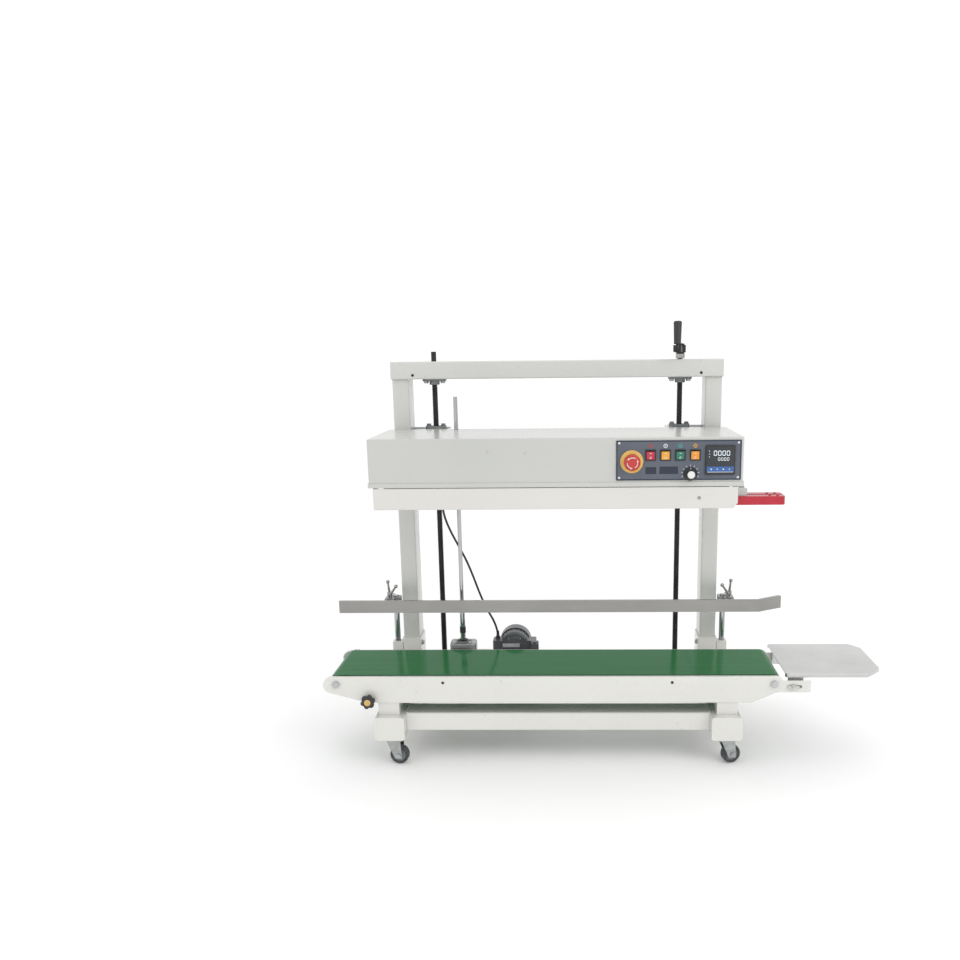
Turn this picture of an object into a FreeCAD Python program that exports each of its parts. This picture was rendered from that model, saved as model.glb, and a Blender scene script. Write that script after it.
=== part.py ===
"""Continuous band sealer on casters, as separate pieces.

Millimetres, +Z up, floor at Z 0, origin under the middle of the whole machine. Bags stand on the belt
and travel towards -X. The operator stands at -Y.
"""
import FreeCAD
import Part
import math
import os

os.makedirs("parts", exist_ok=True)

V = FreeCAD.Vector
x_axis, y_axis, z_axis = V(1, 0, 0), V(0, 1, 0), V(0, 0, 1)

# ---- driving dimensions ----
mid_x = -117.0          # middle of the upright frame
belt_y = -110.0         # centre line of the belt
frame_y = 90.0          # centre line of the columns and lead screws
slot_y = -150.0         # plane the bag mouths travel in

foot_x = 440.0          # feet, from mid_x
foot_size = (80.0, 64.0)
foot_bottom, foot_top = 78.0, 142.0
foot_front, foot_back = -240.0, 268.0
tube_wall = 2.5
member_height = 50.0
front_member_y = (-206.0, -137.0)
column_x = 425.0
column_size = (45.0, 75.0)
socket_wall, socket_top = 4.0, 266.0
beam_half, beam_depth = 449.0, 95.0
beam_bottom, beam_top = 1000.0, 1047.0
drain_r = 4.0

screw_x, screw_r = 337.0, 8.0
screw_bottom, screw_top = 143.0, 1073.0
screw_end_r, screw_end = 7.0, 24.0      # turned end for a crank
sprocket_r, sprocket_z, sprocket_t = 24.0, 1015.0, 6.0
running_gap = 0.05      # radial, every shaft in its bush
crank_reach, crank_turn = 80.0, -102.0
crank_z, crank_t = 1066.0, 18.0
grip_bottom, grip_top = 1086.0, 1146.0
grip_r_low, grip_r_high = 9.5, 11.5
grip_pin_r = 4.0

rod_x, rod_y = mid_x - 273.0, 25.0
rod_r, rod_low_r, rod_band_r = 5.5, 7.0, 8.5
rod_bottom, rod_step, rod_top = 235.0, 386.0, 954.0
rod_band = (290.0, 309.0)

belt_width, belt_t, belt_z = 200.0, 2.0, 250.0
roller_r, roller_gap = 20.0, 0.3
left_axle_x, right_axle_x = mid_x - 577.0, mid_x + 560.0
axle_r = 6.0
panel_t, panel_face = 3.0, 112.0
panel_top, panel_bottom = 247.0, 176.0
nose_r = 22.0
flange_w = 11.0
knob_x, knob_z, knob_r = mid_x - 492.0, 186.0, 19.5

chain_r = 12.0

caster_y = (-200.0, 228.0)
caster_wheel_r, caster_wheel_w = 25.0, 20.0
caster_trail = 18.0
caster_headings = {"front_left": -6.0, "front_right": 15.0, "rear_left": 20.0, "rear_right": -10.0}

head_half, head_front, head_back = 462.0, -240.0, 44.0
tray_z, rim_z, cover_top = 746.0, 757.0, 866.0
guard_bottom, guard_top = 691.0, 744.5
guard_left, guard_right = mid_x - 450.0, mid_x + 448.0
sheet = 2.0

panel_x = (mid_x + 149.5, mid_x + 453.0)
panel_z = (761.5, 859.0)
face_t = 2.5
stop_x, stop_z = mid_x + 187.5, 807.5
rocker_x = [mid_x + 233.0 + 36.0 * i for i in range(4)]
rocker_z, rocker_half = 823.0, (9.7, 10.0)
rocker_tilt = 7.0
dial_x, dial_z = mid_x + 330.0, 777.0
gauge_x, gauge_z, gauge_size = mid_x + 401.5, 810.5, 72.0

band_t, band_wheel_r, band_gap = 1.0, 30.0, 0.15
band_nip = 0.5          # each band stands this far off the slot plane
wheel_span = 300.0
guide_x = (mid_x + 474.0, mid_x + 577.0)
guide_z = (689.0, 711.0)
guide_w, guide_gap = 27.0, 11.0

post_x, post_y, post_r = 467.0, 62.0, 8.0
post_bottom, post_top = 225.0, 392.0
arm_z, arm_r = 376.0, 6.0
clamp_half = 11.0
lever_boss_r, lever_boss = 7.0, 12.0
lever_reach, lever_foot_r, lever_neck_r, lever_ball_r = 34.0, 4.0, 2.8, 5.5
rail_y, rail_z = -38.0, (367.0, 401.0)
rail_x = (mid_x - 606.0, mid_x + 551.0)
rail_flare, rail_flare_back = 68.0, 40.0
rail_t, rail_lip = 2.0, 9.0

plate_x = (mid_x + 592.0, mid_x + 846.0)
plate_y = (belt_y - 98.0, belt_y + 145.0)
plate_t, plate_skirt = 2.0, 10.0
tab_slot_z = 220.0

motor_x, motor_z, motor_r = mid_x - 128.0, 240.0, 42.0
motor_front, motor_top, gland_h = frame_y - 48.0, 259.0, 3.0
cable_r = 3.0


# ---- helpers ----
def box(x0, x1, y0, y1, z0, z1):
    return Part.makeBox(x1 - x0, y1 - y0, z1 - z0, V(x0, y0, z0))


def rod(x, y, z, r, length, axis=z_axis):
    return Part.makeCylinder(r, length, V(x, y, z), axis)


def ring(x, y, z, outer, inner, length, axis=z_axis):
    return rod(x, y, z, outer, length, axis).cut(rod(x, y, z, inner, length, axis))


def rounded(shape, r, axis):
    """Fillet the straight edges that run along one axis."""
    found = []
    for edge in shape.Edges:
        if isinstance(edge.Curve, Part.Line):
            run = edge.Vertexes[1].Point.sub(edge.Vertexes[0].Point)
            if abs(run.normalize().dot(axis)) > 0.999:
                found.append(edge)
    return shape.makeFillet(r, found)


def soft_edges(shape, r, keep):
    """Fillet every edge whose centre passes the test."""
    return shape.makeFillet(r, [e for e in shape.Edges if keep(e.CenterOfMass)])


def prism(points, direction):
    """A closed outline of points, extruded."""
    return Part.Face(Part.makePolygon([V(*p) for p in points] + [V(*points[0])])).extrude(direction)


def fused(first, *rest):
    for shape in rest:
        first = first.fuse(shape)
    return first.removeSplitter()


def revolved(profile, centre, axis=z_axis):
    """Turn an (r, height) outline about an axis through centre."""
    side = x_axis if abs(axis.dot(x_axis)) < 0.5 else y_axis
    points = [centre + side * r + axis * h for r, h in profile]
    face = Part.Face(Part.makePolygon(points + [points[0]]))
    return face.revolve(centre, axis, 360)


def turned(shape, centre, axis, degrees):
    out = shape.copy()
    out.rotate(V(*centre), axis, degrees)
    return out


def loop_band(x0, x1, y, z, r_in, r_out, length, axis):
    """A belt round two equal wheels: slot outline less its inside. Wheels lie along X."""
    def slot(r):
        across = y_axis if axis.z else z_axis
        a, b = V(x0, y, z), V(x1, y, z)
        top = Part.LineSegment(a + across * r, b + across * r)
        right = Part.Arc(b + across * r, b + x_axis * r, b - across * r)
        low = Part.LineSegment(b - across * r, a - across * r)
        left = Part.Arc(a - across * r, a - x_axis * r, a + across * r)
        wire = Part.Wire([s.toShape() for s in (top, right, low, left)])
        return Part.Face(wire).extrude(axis * length)
    return slot(r_out).cut(slot(r_in))


def bolt(x, y, z, axis, head=6.5, height=5.0):
    """Hexagon head with its washer, standing on a face."""
    washer = rod(x, y, z, head * 1.25, 1.4, axis)
    across = y_axis if abs(axis.y) < 0.5 else z_axis
    start = V(x, y, z) + axis * 1.4
    side = axis.cross(across)
    corners = [start + across * (head * math.cos(a)) + side * (head * math.sin(a))
               for a in (math.pi / 3 * i for i in range(6))]
    hexagon = Part.Face(Part.makePolygon(corners + [corners[0]])).extrude(axis * height)
    return washer.fuse(hexagon)


def save(node, *solids):
    shape = solids[0] if len(solids) == 1 else Part.makeCompound(list(solids))
    count = len(shape.Solids)
    ok = all(s.isValid() and s.isClosed() for s in shape.Solids)
    print(f"{node:24s} solids {count:2d} valid {ok} volume {shape.Volume / 1000:9.1f} cm3")
    shape.exportStep(f"parts/{node}.step")


sides = (-1, 1)


# ---- frame ----
def foot_beam(side):
    x = mid_x + side * foot_x
    half = foot_size[0] / 2
    outer = rounded(box(x - half, x + half, foot_front, foot_back, foot_bottom, foot_top), 8.0, y_axis)
    w = tube_wall
    inner = box(x - half + w, x + half - w, foot_front + w, foot_back - w, foot_bottom + w, foot_top - w)
    shape = outer.cut(rounded(inner, 5.5, y_axis))
    shape = shape.cut(rod(x, 60, foot_bottom - 1, drain_r, 5))
    for y in caster_y:
        shape = shape.cut(rod(x, y, foot_bottom - 1, 5 + running_gap, 5))
    return shape


def cross_member(y0, y1):
    inner_x = foot_x - foot_size[0] / 2
    z0 = foot_top - member_height
    x0, x1 = mid_x - inner_x, mid_x + inner_x
    outer = rounded(box(x0, x1, y0, y1, z0, foot_top), 5.0, x_axis)
    w = tube_wall
    return outer.cut(rounded(box(x0, x1, y0 + w, y1 - w, z0 + w, foot_top - w), 2.5, x_axis))


def column_socket(side):
    x = mid_x + side * column_x
    hx, hy = column_size[0] / 2, column_size[1] / 2
    w = socket_wall
    outer = rounded(box(x - hx - w, x + hx + w, frame_y - hy - w, frame_y + hy + w, foot_top, socket_top), 5, z_axis)
    return outer.cut(box(x - hx, x + hx, frame_y - hy, frame_y + hy, foot_top, socket_top))


def conveyor_leg(side, y0, y1):
    x = mid_x + side * 442.5
    outer = box(x - 27.5, x + 27.5, y0, y1, foot_top, panel_bottom)
    return outer.cut(box(x - 24.5, x + 24.5, y0 + 3, y1 - 3, foot_top, panel_bottom - 3))


def post_block(side):
    """Split clamp on the outer face of the socket that holds a rail post."""
    inner = column_x + column_size[0] / 2 + socket_wall
    a, b = mid_x + side * inner, mid_x + side * (post_x + 13)
    shape = box(min(a, b), max(a, b), post_y - 13, post_y + 13, post_bottom, post_bottom + 30)
    return shape.cut(rod(mid_x + side * post_x, post_y, post_bottom + 4, post_r, 40))


def base_frame():
    half = column_size[1] / 2
    legs = [conveyor_leg(s, y, y + 46) for s in sides for y in (belt_y - 108, belt_y + 62)]
    feet = [foot_beam(s) for s in sides]
    members = [cross_member(*front_member_y), cross_member(frame_y - half + 2, frame_y + half - 2)]
    sockets = [column_socket(s) for s in sides]
    blocks = [post_block(s) for s in sides]
    save("base_frame", *feet, *members, *sockets, *legs, *blocks)


def columns():
    hx, hy = column_size[0] / 2, column_size[1] / 2
    out = []
    for side in sides:
        x = mid_x + side * column_x
        outer = rounded(box(x - hx, x + hx, frame_y - hy, frame_y + hy, foot_top, beam_bottom), 4, z_axis)
        w = tube_wall
        inner = box(x - hx + w, x + hx - w, frame_y - hy + w, frame_y + hy - w, foot_top, beam_bottom)
        out.append(outer.cut(inner))
    save("columns", *out)


def top_beam():
    half = beam_depth / 2
    w = tube_wall
    outer = box(mid_x - beam_half, mid_x + beam_half, frame_y - half, frame_y + half, beam_bottom, beam_top)
    outer = rounded(outer, 4.0, x_axis)
    shape = outer.cut(box(mid_x - beam_half + w, mid_x + beam_half - w, frame_y - half + w,
                          frame_y + half - w, beam_bottom + w, beam_top - w))
    for side in sides:
        shape = shape.cut(rod(mid_x + side * screw_x, frame_y, beam_bottom - 1, screw_r + 1.5, 60))
    save("top_beam", shape)


def screw_bearings():
    """Flanged bushes under the beam and blocks on the rear member."""
    out = []
    hole = screw_r + running_gap
    for side in sides:
        x = mid_x + side * screw_x
        flange = rounded(box(x - 32, x + 32, frame_y - 18, frame_y + 18, beam_bottom - 6, beam_bottom), 12, z_axis)
        top = flange.fuse(rod(x, frame_y, beam_bottom - 16, 14, 12))
        foot = rounded(box(x - 26, x + 26, frame_y - 20, frame_y + 20, foot_top, foot_top + 10), 6, z_axis)
        foot = foot.fuse(rod(x, frame_y, foot_top, 17, 28))
        out.append(top.cut(rod(x, frame_y, beam_bottom - 20, hole, 30)).removeSplitter())
        out.append(foot.cut(rod(x, frame_y, foot_top, hole, 30)).removeSplitter())
    save("screw_bearings", *out)


def frame_bolts():
    """One size of hexagon bolt for bearings, sockets and panel feet, and the beam's front screws."""
    out = []
    for side in sides:
        x = mid_x + side * screw_x
        for dx in (-23, 23):
            out.append(bolt(x + dx, frame_y, beam_bottom - 6, V(0, 0, -1)))
        inner = mid_x + side * (column_x - column_size[0] / 2 - socket_wall)
        for z in (165.0, 247.0):
            out.append(bolt(inner, frame_y - 20, z, V(-side, 0, 0)))
        out.append(rod(mid_x + side * 389.0, frame_y - beam_depth / 2 - 1.2, beam_bottom + 11, 3.5, 1.2, y_axis))
    for x in (mid_x - 297.5, mid_x + 297.5):
        out.append(rod(x, belt_y - panel_face - 1.5, 232, 4.0, 1.5, y_axis))
    save("frame_bolts", *out)


def roller_chains():
    """The chain that ties the two lead screws and the one that drives the belt roller."""
    z = sprocket_z + sprocket_t + 1
    lift = loop_band(mid_x - screw_x, mid_x + screw_x, frame_y, z, sprocket_r - 4, sprocket_r, 5, z_axis)
    drive = loop_band(left_axle_x, rod_x, belt_y + panel_face + 3, belt_z - belt_t - roller_r,
                      chain_r, chain_r + 4, 5, y_axis)
    save("roller_chains", lift, drive)


# ---- lift ----
def lead_screw():
    shaft = rod(0, frame_y, screw_bottom, screw_r, screw_top - screw_end - screw_bottom)
    end = rod(0, frame_y, screw_top - screw_end, screw_end_r, screw_end)
    wheel = rod(0, frame_y, sprocket_z, sprocket_r - 1.0, sprocket_t)
    hub = rod(0, frame_y, sprocket_z - 6, 13.0, 18.0)
    return fused(shaft, end, wheel, hub)


def lead_screws():
    left, right = lead_screw(), lead_screw()
    left.translate(V(mid_x - screw_x, 0, 0))
    right.translate(V(mid_x + screw_x, 0, 0))
    save("left_lead_screw", left)
    save("right_lead_screw", right)


def crank():
    x = mid_x + screw_x
    turn = math.radians(crank_turn)
    ex, ey = x + crank_reach * math.cos(turn), frame_y + crank_reach * math.sin(turn)
    hub = rod(x, frame_y, beam_top + 2, 11.0, crank_z + crank_t + 4 - beam_top - 2)
    boss = rod(ex, ey, crank_z, 11.0, crank_t)
    web = turned(box(x, x + crank_reach, frame_y - 8, frame_y + 8, crank_z, crank_z + crank_t - 4),
                 (x, frame_y, 0), z_axis, crank_turn)
    wide = rod(x, frame_y, crank_z - 2, 15.0, crank_t + 2)
    pin = rod(ex, ey, crank_z, grip_pin_r, grip_top - 6 - crank_z)
    arm = fused(hub, wide, boss, web, pin)
    arm = arm.cut(rod(x, frame_y, beam_top, screw_end_r, screw_top - beam_top))
    save("crank_arm", arm)
    length = grip_top - grip_bottom
    outline = [(0, 0), (grip_r_low, 0), (grip_r_low + 0.6, length * 0.3), (grip_r_high, length * 0.85),
               (grip_r_high - 1.5, length - 2), (grip_r_high - 5, length), (0, length)]
    grip = revolved(outline, V(ex, ey, grip_bottom))
    grip = grip.cut(rod(ex, ey, grip_bottom, grip_pin_r + running_gap, length - 5))
    save("crank_grip", grip)


# ---- drive ----
def drive_rod():
    low = rod(rod_x, rod_y, rod_bottom, rod_low_r, rod_step - rod_bottom)
    high = rod(rod_x, rod_y, rod_step, rod_r, rod_top - rod_step)
    band = rod(rod_x, rod_y, rod_band[0], rod_band_r, rod_band[1] - rod_band[0])
    save("drive_rod", fused(low, high, band))


def bevel_gearbox():
    front = belt_y + panel_face + 10
    body = box(rod_x - 37, rod_x + 37, front, rod_y + 34, 195, 262)
    body = rounded(body, 10, z_axis)
    body = soft_edges(body, 6, lambda c: c.z > 261)
    lid = rod(rod_x, rod_y, 262, 16, 6)
    tunnel = rod(rod_x + 30, rod_y + 10, 222, 14, motor_x - 62 - rod_x - 30, x_axis)
    stand = box(rod_x - 30, rod_x + 30, frame_y - 34, frame_y - 12, foot_top, 196)
    sprocket = rod(rod_x, front - 7, belt_z - belt_t - roller_r, chain_r - 0.3, 8, y_axis)
    shape = fused(body, lid, tunnel, stand)
    shape = shape.cut(rod(rod_x, rod_y, rod_bottom - 2, rod_low_r + running_gap, 60))
    shape = shape.fuse(sprocket.cut(rod(rod_x, rod_y, rod_bottom - 2, rod_low_r + running_gap, 60)))
    save("bevel_gearbox", shape)


def gear_motor():
    base = rounded(box(motor_x - 62, motor_x + 62, motor_front, frame_y - 8, foot_top, motor_top), 5, z_axis)
    barrel = rod(motor_x, frame_y - 38, motor_z, motor_r, 62, y_axis)
    plate = rod(motor_x, frame_y - 44, motor_z, motor_r - 1.5, 8, y_axis)
    shape = fused(base, barrel, plate)
    terminal = box(motor_x + 48, motor_x + 70, motor_front - 13, motor_front, motor_top - 29, motor_top + 1)
    terminal = rounded(terminal, 2, y_axis)
    gland = rod(cable_route[-1][0], cable_route[-1][1], motor_top, 7.0, gland_h)
    save("gear_motor", shape, terminal, gland)
    cowl_y, cowl_end, cowl_r = frame_y - 6, frame_y + 26, motor_r + 3.5
    cowl = ring(motor_x, cowl_y, motor_z, cowl_r, motor_r + 1.5, cowl_end + 1 - cowl_y, y_axis)
    end = rod(motor_x, cowl_end, motor_z, cowl_r, 2.5, y_axis)
    for r in (12.0, 20.0, 28.0):
        for i in range(12):
            a = math.radians(30 * i + r)
            end = end.cut(rod(motor_x + r * math.cos(a), cowl_end - 1, motor_z + r * math.sin(a), 2.6, 5, y_axis))
    spokes = [turned(box(motor_x - 3, motor_x + 3, cowl_y + 8, cowl_y + 18, motor_z + motor_r, motor_z + motor_r + 2.5),
                     (motor_x, 0, motor_z), y_axis, a) for a in (60, 180, 300)]
    save("motor_cowl", fused(cowl, end, *spokes))


# ---- conveyor ----
def side_panel_outline(top, bottom, inset):
    z = top - nose_r
    left, right = left_axle_x - 13, right_axle_x + 5
    r = nose_r - inset
    start, end = V(left, 0, z + r), V(right, 0, z + r)
    low_left = V(left - r * 0.34, 0, z - r * 0.94)
    wire = [Part.LineSegment(start, end).toShape(),
            Part.Arc(end, V(right + r, 0, z), V(right, 0, z - r)).toShape(),
            Part.LineSegment(V(right, 0, z - r), V(right - 60, 0, bottom + inset)).toShape(),
            Part.LineSegment(V(right - 60, 0, bottom + inset), V(left + 96, 0, bottom + inset)).toShape(),
            Part.LineSegment(V(left + 96, 0, bottom + inset), low_left).toShape(),
            Part.Arc(low_left, V(left - r, 0, z), start).toShape()]
    return Part.Wire(wire)


def side_panel(side):
    """Sheet side with a folded rim all round, turned in towards the belt."""
    outer = Part.Face(side_panel_outline(panel_top, panel_bottom, 0)).extrude(y_axis * flange_w)
    inner = Part.Face(side_panel_outline(panel_top, panel_bottom, panel_t)).extrude(y_axis * flange_w)
    inner.translate(y_axis * panel_t)
    shape = outer.cut(inner)
    shape = soft_edges(shape, 2.0, lambda c: c.y < 0.01)
    tab = box(right_axle_x - 4, plate_x[0] + 62, 0, panel_t, 205, 236)
    slot = rounded(box(plate_x[0] + 12, plate_x[0] + 40, -1, 5, tab_slot_z - 4.5, tab_slot_z + 4.5), 4.4, y_axis)
    shape = fused(shape, tab.cut(slot))
    for x in (left_axle_x, right_axle_x):
        shape = shape.cut(rod(x, -1, belt_z - belt_t - roller_r, axle_r + running_gap, 20, y_axis))
    if side > 0:
        shape = shape.mirror(V(0, 0, 0), y_axis)
    shape.translate(V(0, belt_y + side * panel_face, 0))
    return shape


def side_panels():
    save("side_panels", *[side_panel(s) for s in sides])


def conveyor_bed():
    z = belt_z - belt_t - roller_gap
    x0, x1 = left_axle_x + 30, right_axle_x - 30
    top = box(x0, x1, belt_y - 98, belt_y + 98, z - 2, z)
    sides_down = [box(x0 + 10, x1 - 10, belt_y + s * 97 - 1, belt_y + s * 97 + 1, z - 30, z - 1) for s in sides]
    ties = [box(x - 15, x + 15, belt_y - panel_face + panel_t, belt_y + panel_face - panel_t, z - 40, z - 29)
            for x in (x0 + 40, mid_x, x1 - 40)]
    save("conveyor_bed", fused(top, *sides_down, *ties))


def conveyor_belt():
    z = belt_z - belt_t - roller_r
    half = belt_width / 2
    belt = loop_band(left_axle_x, right_axle_x, belt_y - half, z, roller_r + roller_gap,
                     roller_r + belt_t, belt_width, y_axis)
    save("conveyor_belt", belt)


def rollers():
    z = belt_z - belt_t - roller_r
    for node, x in (("drive_roller", left_axle_x), ("idle_roller", right_axle_x)):
        drum = rod(x, belt_y - 99, z, roller_r, 198, y_axis)
        axle = rod(x, belt_y - panel_face - 4, z, axle_r, 2 * panel_face + 16, y_axis)
        head = rod(x, belt_y - panel_face - 7, z, 9.0, 5.0, y_axis)
        shape = fused(drum, axle, head)
        if node == "drive_roller":
            shape = fused(shape, rod(x, belt_y + panel_face + 3, z, chain_r - 0.3, 5, y_axis))
        save(node, shape)


def star_knob():
    y = belt_y - panel_face
    hub = rod(knob_x, y - 24, knob_z, knob_r - 4.5, 16, y_axis)
    lobes = []
    for i in range(6):
        a = math.radians(60 * i + 15)
        lobes.append(rod(knob_x + 14 * math.cos(a), y - 24, knob_z + 14 * math.sin(a), 5.8, 16, y_axis))
    neck = rod(knob_x, y - 9, knob_z, 8.0, 9, y_axis)
    save("star_knob", fused(hub, neck, *lobes))


# ---- infeed plate, guide rail ----
def infeed_plate():
    """Stainless tray with turned-down edges, on a slotted bracket."""
    x0, x1 = plate_x
    y0, y1 = plate_y
    outline = [(x0, y0), (x1 - 42, y0), (x1, y0 + 44), (x1, y1 - 34), (x1 - 26, y1), (x0, y1)]

    def slab(inset, z0, z1):
        points = [(x0, y0 + inset), (x1 - 42 - inset * 0.4, y0 + inset), (x1 - inset, y0 + 44 + inset * 0.4),
                  (x1 - inset, y1 - 34 - inset * 0.4), (x1 - 26 - inset * 0.4, y1 - inset), (x0, y1 - inset)]
        return rounded(prism([(x, y, z0) for x, y in points], V(0, 0, z1 - z0)), 8.0, z_axis)

    shape = prism([(x, y, belt_z - plate_skirt) for x, y in outline], V(0, 0, plate_skirt))
    shape = rounded(shape, 10.0, z_axis)
    shape = soft_edges(shape, 1.5, lambda c: c.z > belt_z - 0.01)
    hollow = slab(plate_t, belt_z - plate_skirt, belt_z - plate_t)
    shape = shape.cut(hollow)
    for s in sides:
        ear_y = belt_y + s * 95
        ear = box(x0 + 6, x0 + 46, ear_y - 1.5, ear_y + 1.5, 208, belt_z - plate_t)
        stud = rod(x0 + 17, ear_y, tab_slot_z, 4.0, panel_face - 95 + 12, V(0, s, 0))
        wing_y = belt_y + s * (panel_face + 0.4)
        wing = rod(x0 + 17, wing_y, tab_slot_z, 7.5, 8, V(0, s, 0))
        blade = rod(x0 + 17, wing_y + s * 4, tab_slot_z, 3.0, 6, V(0, s, 0))
        blades = box(x0 + 2, x0 + 32, min(wing_y, wing_y + s * 7) + 2, max(wing_y, wing_y + s * 7) - 2,
                     tab_slot_z - 4, tab_slot_z + 4)
        shape = fused(shape, ear, stud, wing, blade, rounded(blades, 2.5, y_axis))
    save("infeed_plate", shape.removeSplitter())


def rail_posts():
    out = []
    for s in sides:
        x = mid_x + s * post_x
        post = rod(x, post_y, post_bottom + 4, post_r, post_top - post_bottom - 4)
        out.append(soft_edges(post, 1.5, lambda c: c.z > post_top - 0.01))
    save("rail_posts", *out)


def rail_clamps():
    """Cross clamps: one bore for the post, one for the rail's arm in front of it."""
    out = []
    for s in sides:
        x = mid_x + s * post_x
        block = box(x - 14, x + 14, post_y - 15, post_y + 16, arm_z - clamp_half, arm_z + clamp_half)
        block = rounded(block, 4, z_axis)
        lug = box(x - 14 + 14 * s, x + 14 + 14 * s, post_y - 31, post_y + 16, arm_z - clamp_half, arm_z + clamp_half)
        block = fused(block, rounded(lug, 4, z_axis))
        block = block.cut(rod(x, post_y, arm_z - 20, post_r + running_gap, 40))
        block = block.cut(rod(x + s * 18, post_y - 40, arm_z, arm_r + running_gap, 70, y_axis))
        out.append(block)
    save("rail_clamps", *out)


def clamp_lever(node, x, y, z, tilt):
    """Screw boss with a tapered arm ending in a ball."""
    boss = rod(x, y, z, lever_boss_r, lever_boss)
    r, neck = lever_ball_r, lever_neck_r
    ball_z = lever_reach
    neck_z = ball_z - math.sqrt(r * r - neck * neck)
    lines = [V(0, 0, 0), V(lever_foot_r, 0, 0), V(neck, 0, neck_z)]
    edges = [Part.makeLine(p, q) for p, q in zip(lines, lines[1:])]
    edges.append(Part.Arc(V(neck, 0, neck_z), V(r, 0, ball_z), V(0, 0, ball_z + r)).toShape())
    edges.append(Part.makeLine(V(0, 0, ball_z + r), V(0, 0, 0)))
    arm = Part.Face(Part.Wire(edges)).revolve(V(0, 0, 0), z_axis, 360)
    arm.translate(V(x, y, z + lever_boss - 4))
    save(node, boss.fuse(turned(arm, (x, y, z + lever_boss - 4), y_axis, tilt)))


def clamp_levers():
    for s, name in ((-1, "left"), (1, "right")):
        x = mid_x + s * post_x
        clamp_lever(f"{name}_post_lever", x + s * 19.5, post_y + 5, arm_z + clamp_half, 6.0 * s)
        clamp_lever(f"{name}_arm_lever", x + s * 14.0, post_y - 23, arm_z + clamp_half, -35.0 * s)


def guide_rail():
    """Bent stainless strip with a turned-back top lip and two arms."""
    x0, x1 = rail_x
    z0, z1 = rail_z
    y = rail_y
    back_x, back_y = x1 + rail_flare, y + rail_flare_back
    t = rail_t
    strip = prism([(x0, y, z0), (x1, y, z0), (back_x, back_y, z0), (back_x - 1, back_y + t, z0),
                   (x1 - 1, y + t, z0), (x0, y + t, z0)], V(0, 0, z1 - z0))
    lip = prism([(x0, y, z1 - t), (x1, y, z1 - t), (back_x, back_y, z1 - t), (back_x - 6, back_y + rail_lip, z1 - t),
                 (x1 - 3, y + rail_lip, z1 - t), (x0, y + rail_lip, z1 - t)], V(0, 0, t))
    arms = [rod(mid_x + s * (post_x + 18), y + t - 0.5, arm_z, arm_r, post_y + 54 - y, y_axis) for s in sides]
    save("guide_rail", fused(strip, lip, *arms))


# ---- casters ----
def casters():
    wheel_z = caster_wheel_r
    for (name, heading) in caster_headings.items():
        side = -1 if "left" in name else 1
        x = mid_x + side * foot_x
        y = caster_y[0] if "front" in name else caster_y[1]
        ax, half = x + caster_trail, caster_wheel_w / 2
        race = rod(x, y, foot_bottom - 9, 19, 7)
        stem = rod(x, y, foot_bottom - 9, 5, 24)
        cap = rod(x, y, foot_bottom - 4, 12, 3.7)
        crown = box(x - 16, x + 26, y - half - 5, y + half + 5, foot_bottom - 14, foot_bottom - 9)
        fork = fused(race, stem, cap, rounded(crown, 6, z_axis))
        for s in sides:
            cheek = prism([(x - 14, 0, foot_bottom - 10), (x + 24, 0, foot_bottom - 10),
                           (ax + 10, 0, wheel_z - 8), (ax - 10, 0, wheel_z - 8)], V(0, 2.5, 0))
            cheek.translate(V(0, y + (half + 2.5 if s > 0 else -half - 5), 0))
            fork = fork.fuse(cheek)
        pin = rod(ax, y - half - 8, wheel_z, 4, caster_wheel_w + 16, y_axis)
        nuts = [rod(ax, y + d, wheel_z, 7.0, 3.5, y_axis) for d in (-half - 8.5, half + 5)]
        fork = fused(fork, pin, *nuts)
        tyre = rod(ax, y - half, wheel_z, caster_wheel_r, caster_wheel_w, y_axis)
        tyre = soft_edges(tyre, 3.0, lambda c: abs(abs(c.y - y) - half) < 0.01)
        wheel = tyre.cut(rod(ax, y - half - 1, wheel_z, 4 + running_gap, caster_wheel_w + 2, y_axis))
        for s in sides:
            groove = ring(ax, y + s * half - 2, wheel_z, 17, 9, 4, y_axis)
            wheel = wheel.cut(groove)
        save(f"{name}_caster_fork", turned(fork, (x, y, 0), z_axis, heading))
        save(f"{name}_caster_wheel", turned(wheel, (x, y, 0), z_axis, heading))


# ---- sealing head ----
def head_tray():
    x0, x1 = mid_x - head_half, mid_x + head_half
    outer = rounded(box(x0, x1, head_front, head_back, tray_z, rim_z), 4, z_axis)
    shape = outer.cut(rounded(box(x0 + sheet, x1 - sheet, head_front + sheet, head_back - sheet,
                                  tray_z + sheet, rim_z), 2, z_axis))
    shape = shape.cut(rod(rod_x, rod_y, tray_z - 1, 7, 5))
    for wx in (mid_x - wheel_span, mid_x + wheel_span):
        for wy in band_wheel_y():
            shape = shape.cut(rod(wx, wy, tray_z - 1, axle_r + running_gap, 5))
    hangers = [box(mid_x + 452, mid_x + 482, y - 4, y + 4, guide_z[1], tray_z + 1)
               for y in (slot_y - 20, slot_y + 20)]
    save("head_tray", fused(shape, *[h.cut(box(mid_x + 462.1, mid_x + 500, -300, 0, 730, 760)) for h in hangers]))


def head_cover():
    x0, x1 = mid_x - head_half + sheet, mid_x + head_half - sheet
    y0, y1 = head_front + sheet, head_back - sheet
    z0 = tray_z + sheet
    outer = rounded(box(x0, x1, y0, y1, z0, cover_top), 6, z_axis)
    outer = soft_edges(outer, 4, lambda c: c.z > cover_top - 0.01)
    shape = outer.cut(box(x0 + sheet, x1 - sheet, y0 + sheet, y1 - sheet, z0, cover_top - sheet))
    window = box(panel_x[0] + 10, panel_x[1] - 10, y0 - 1, y0 + sheet + 1, panel_z[0] + 8, panel_z[1] - 8)
    shape = shape.cut(window)
    shape = shape.cut(rod(rod_x, rod_y, cover_top - 10, 7.5, 20))
    save("head_cover", shape)


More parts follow.
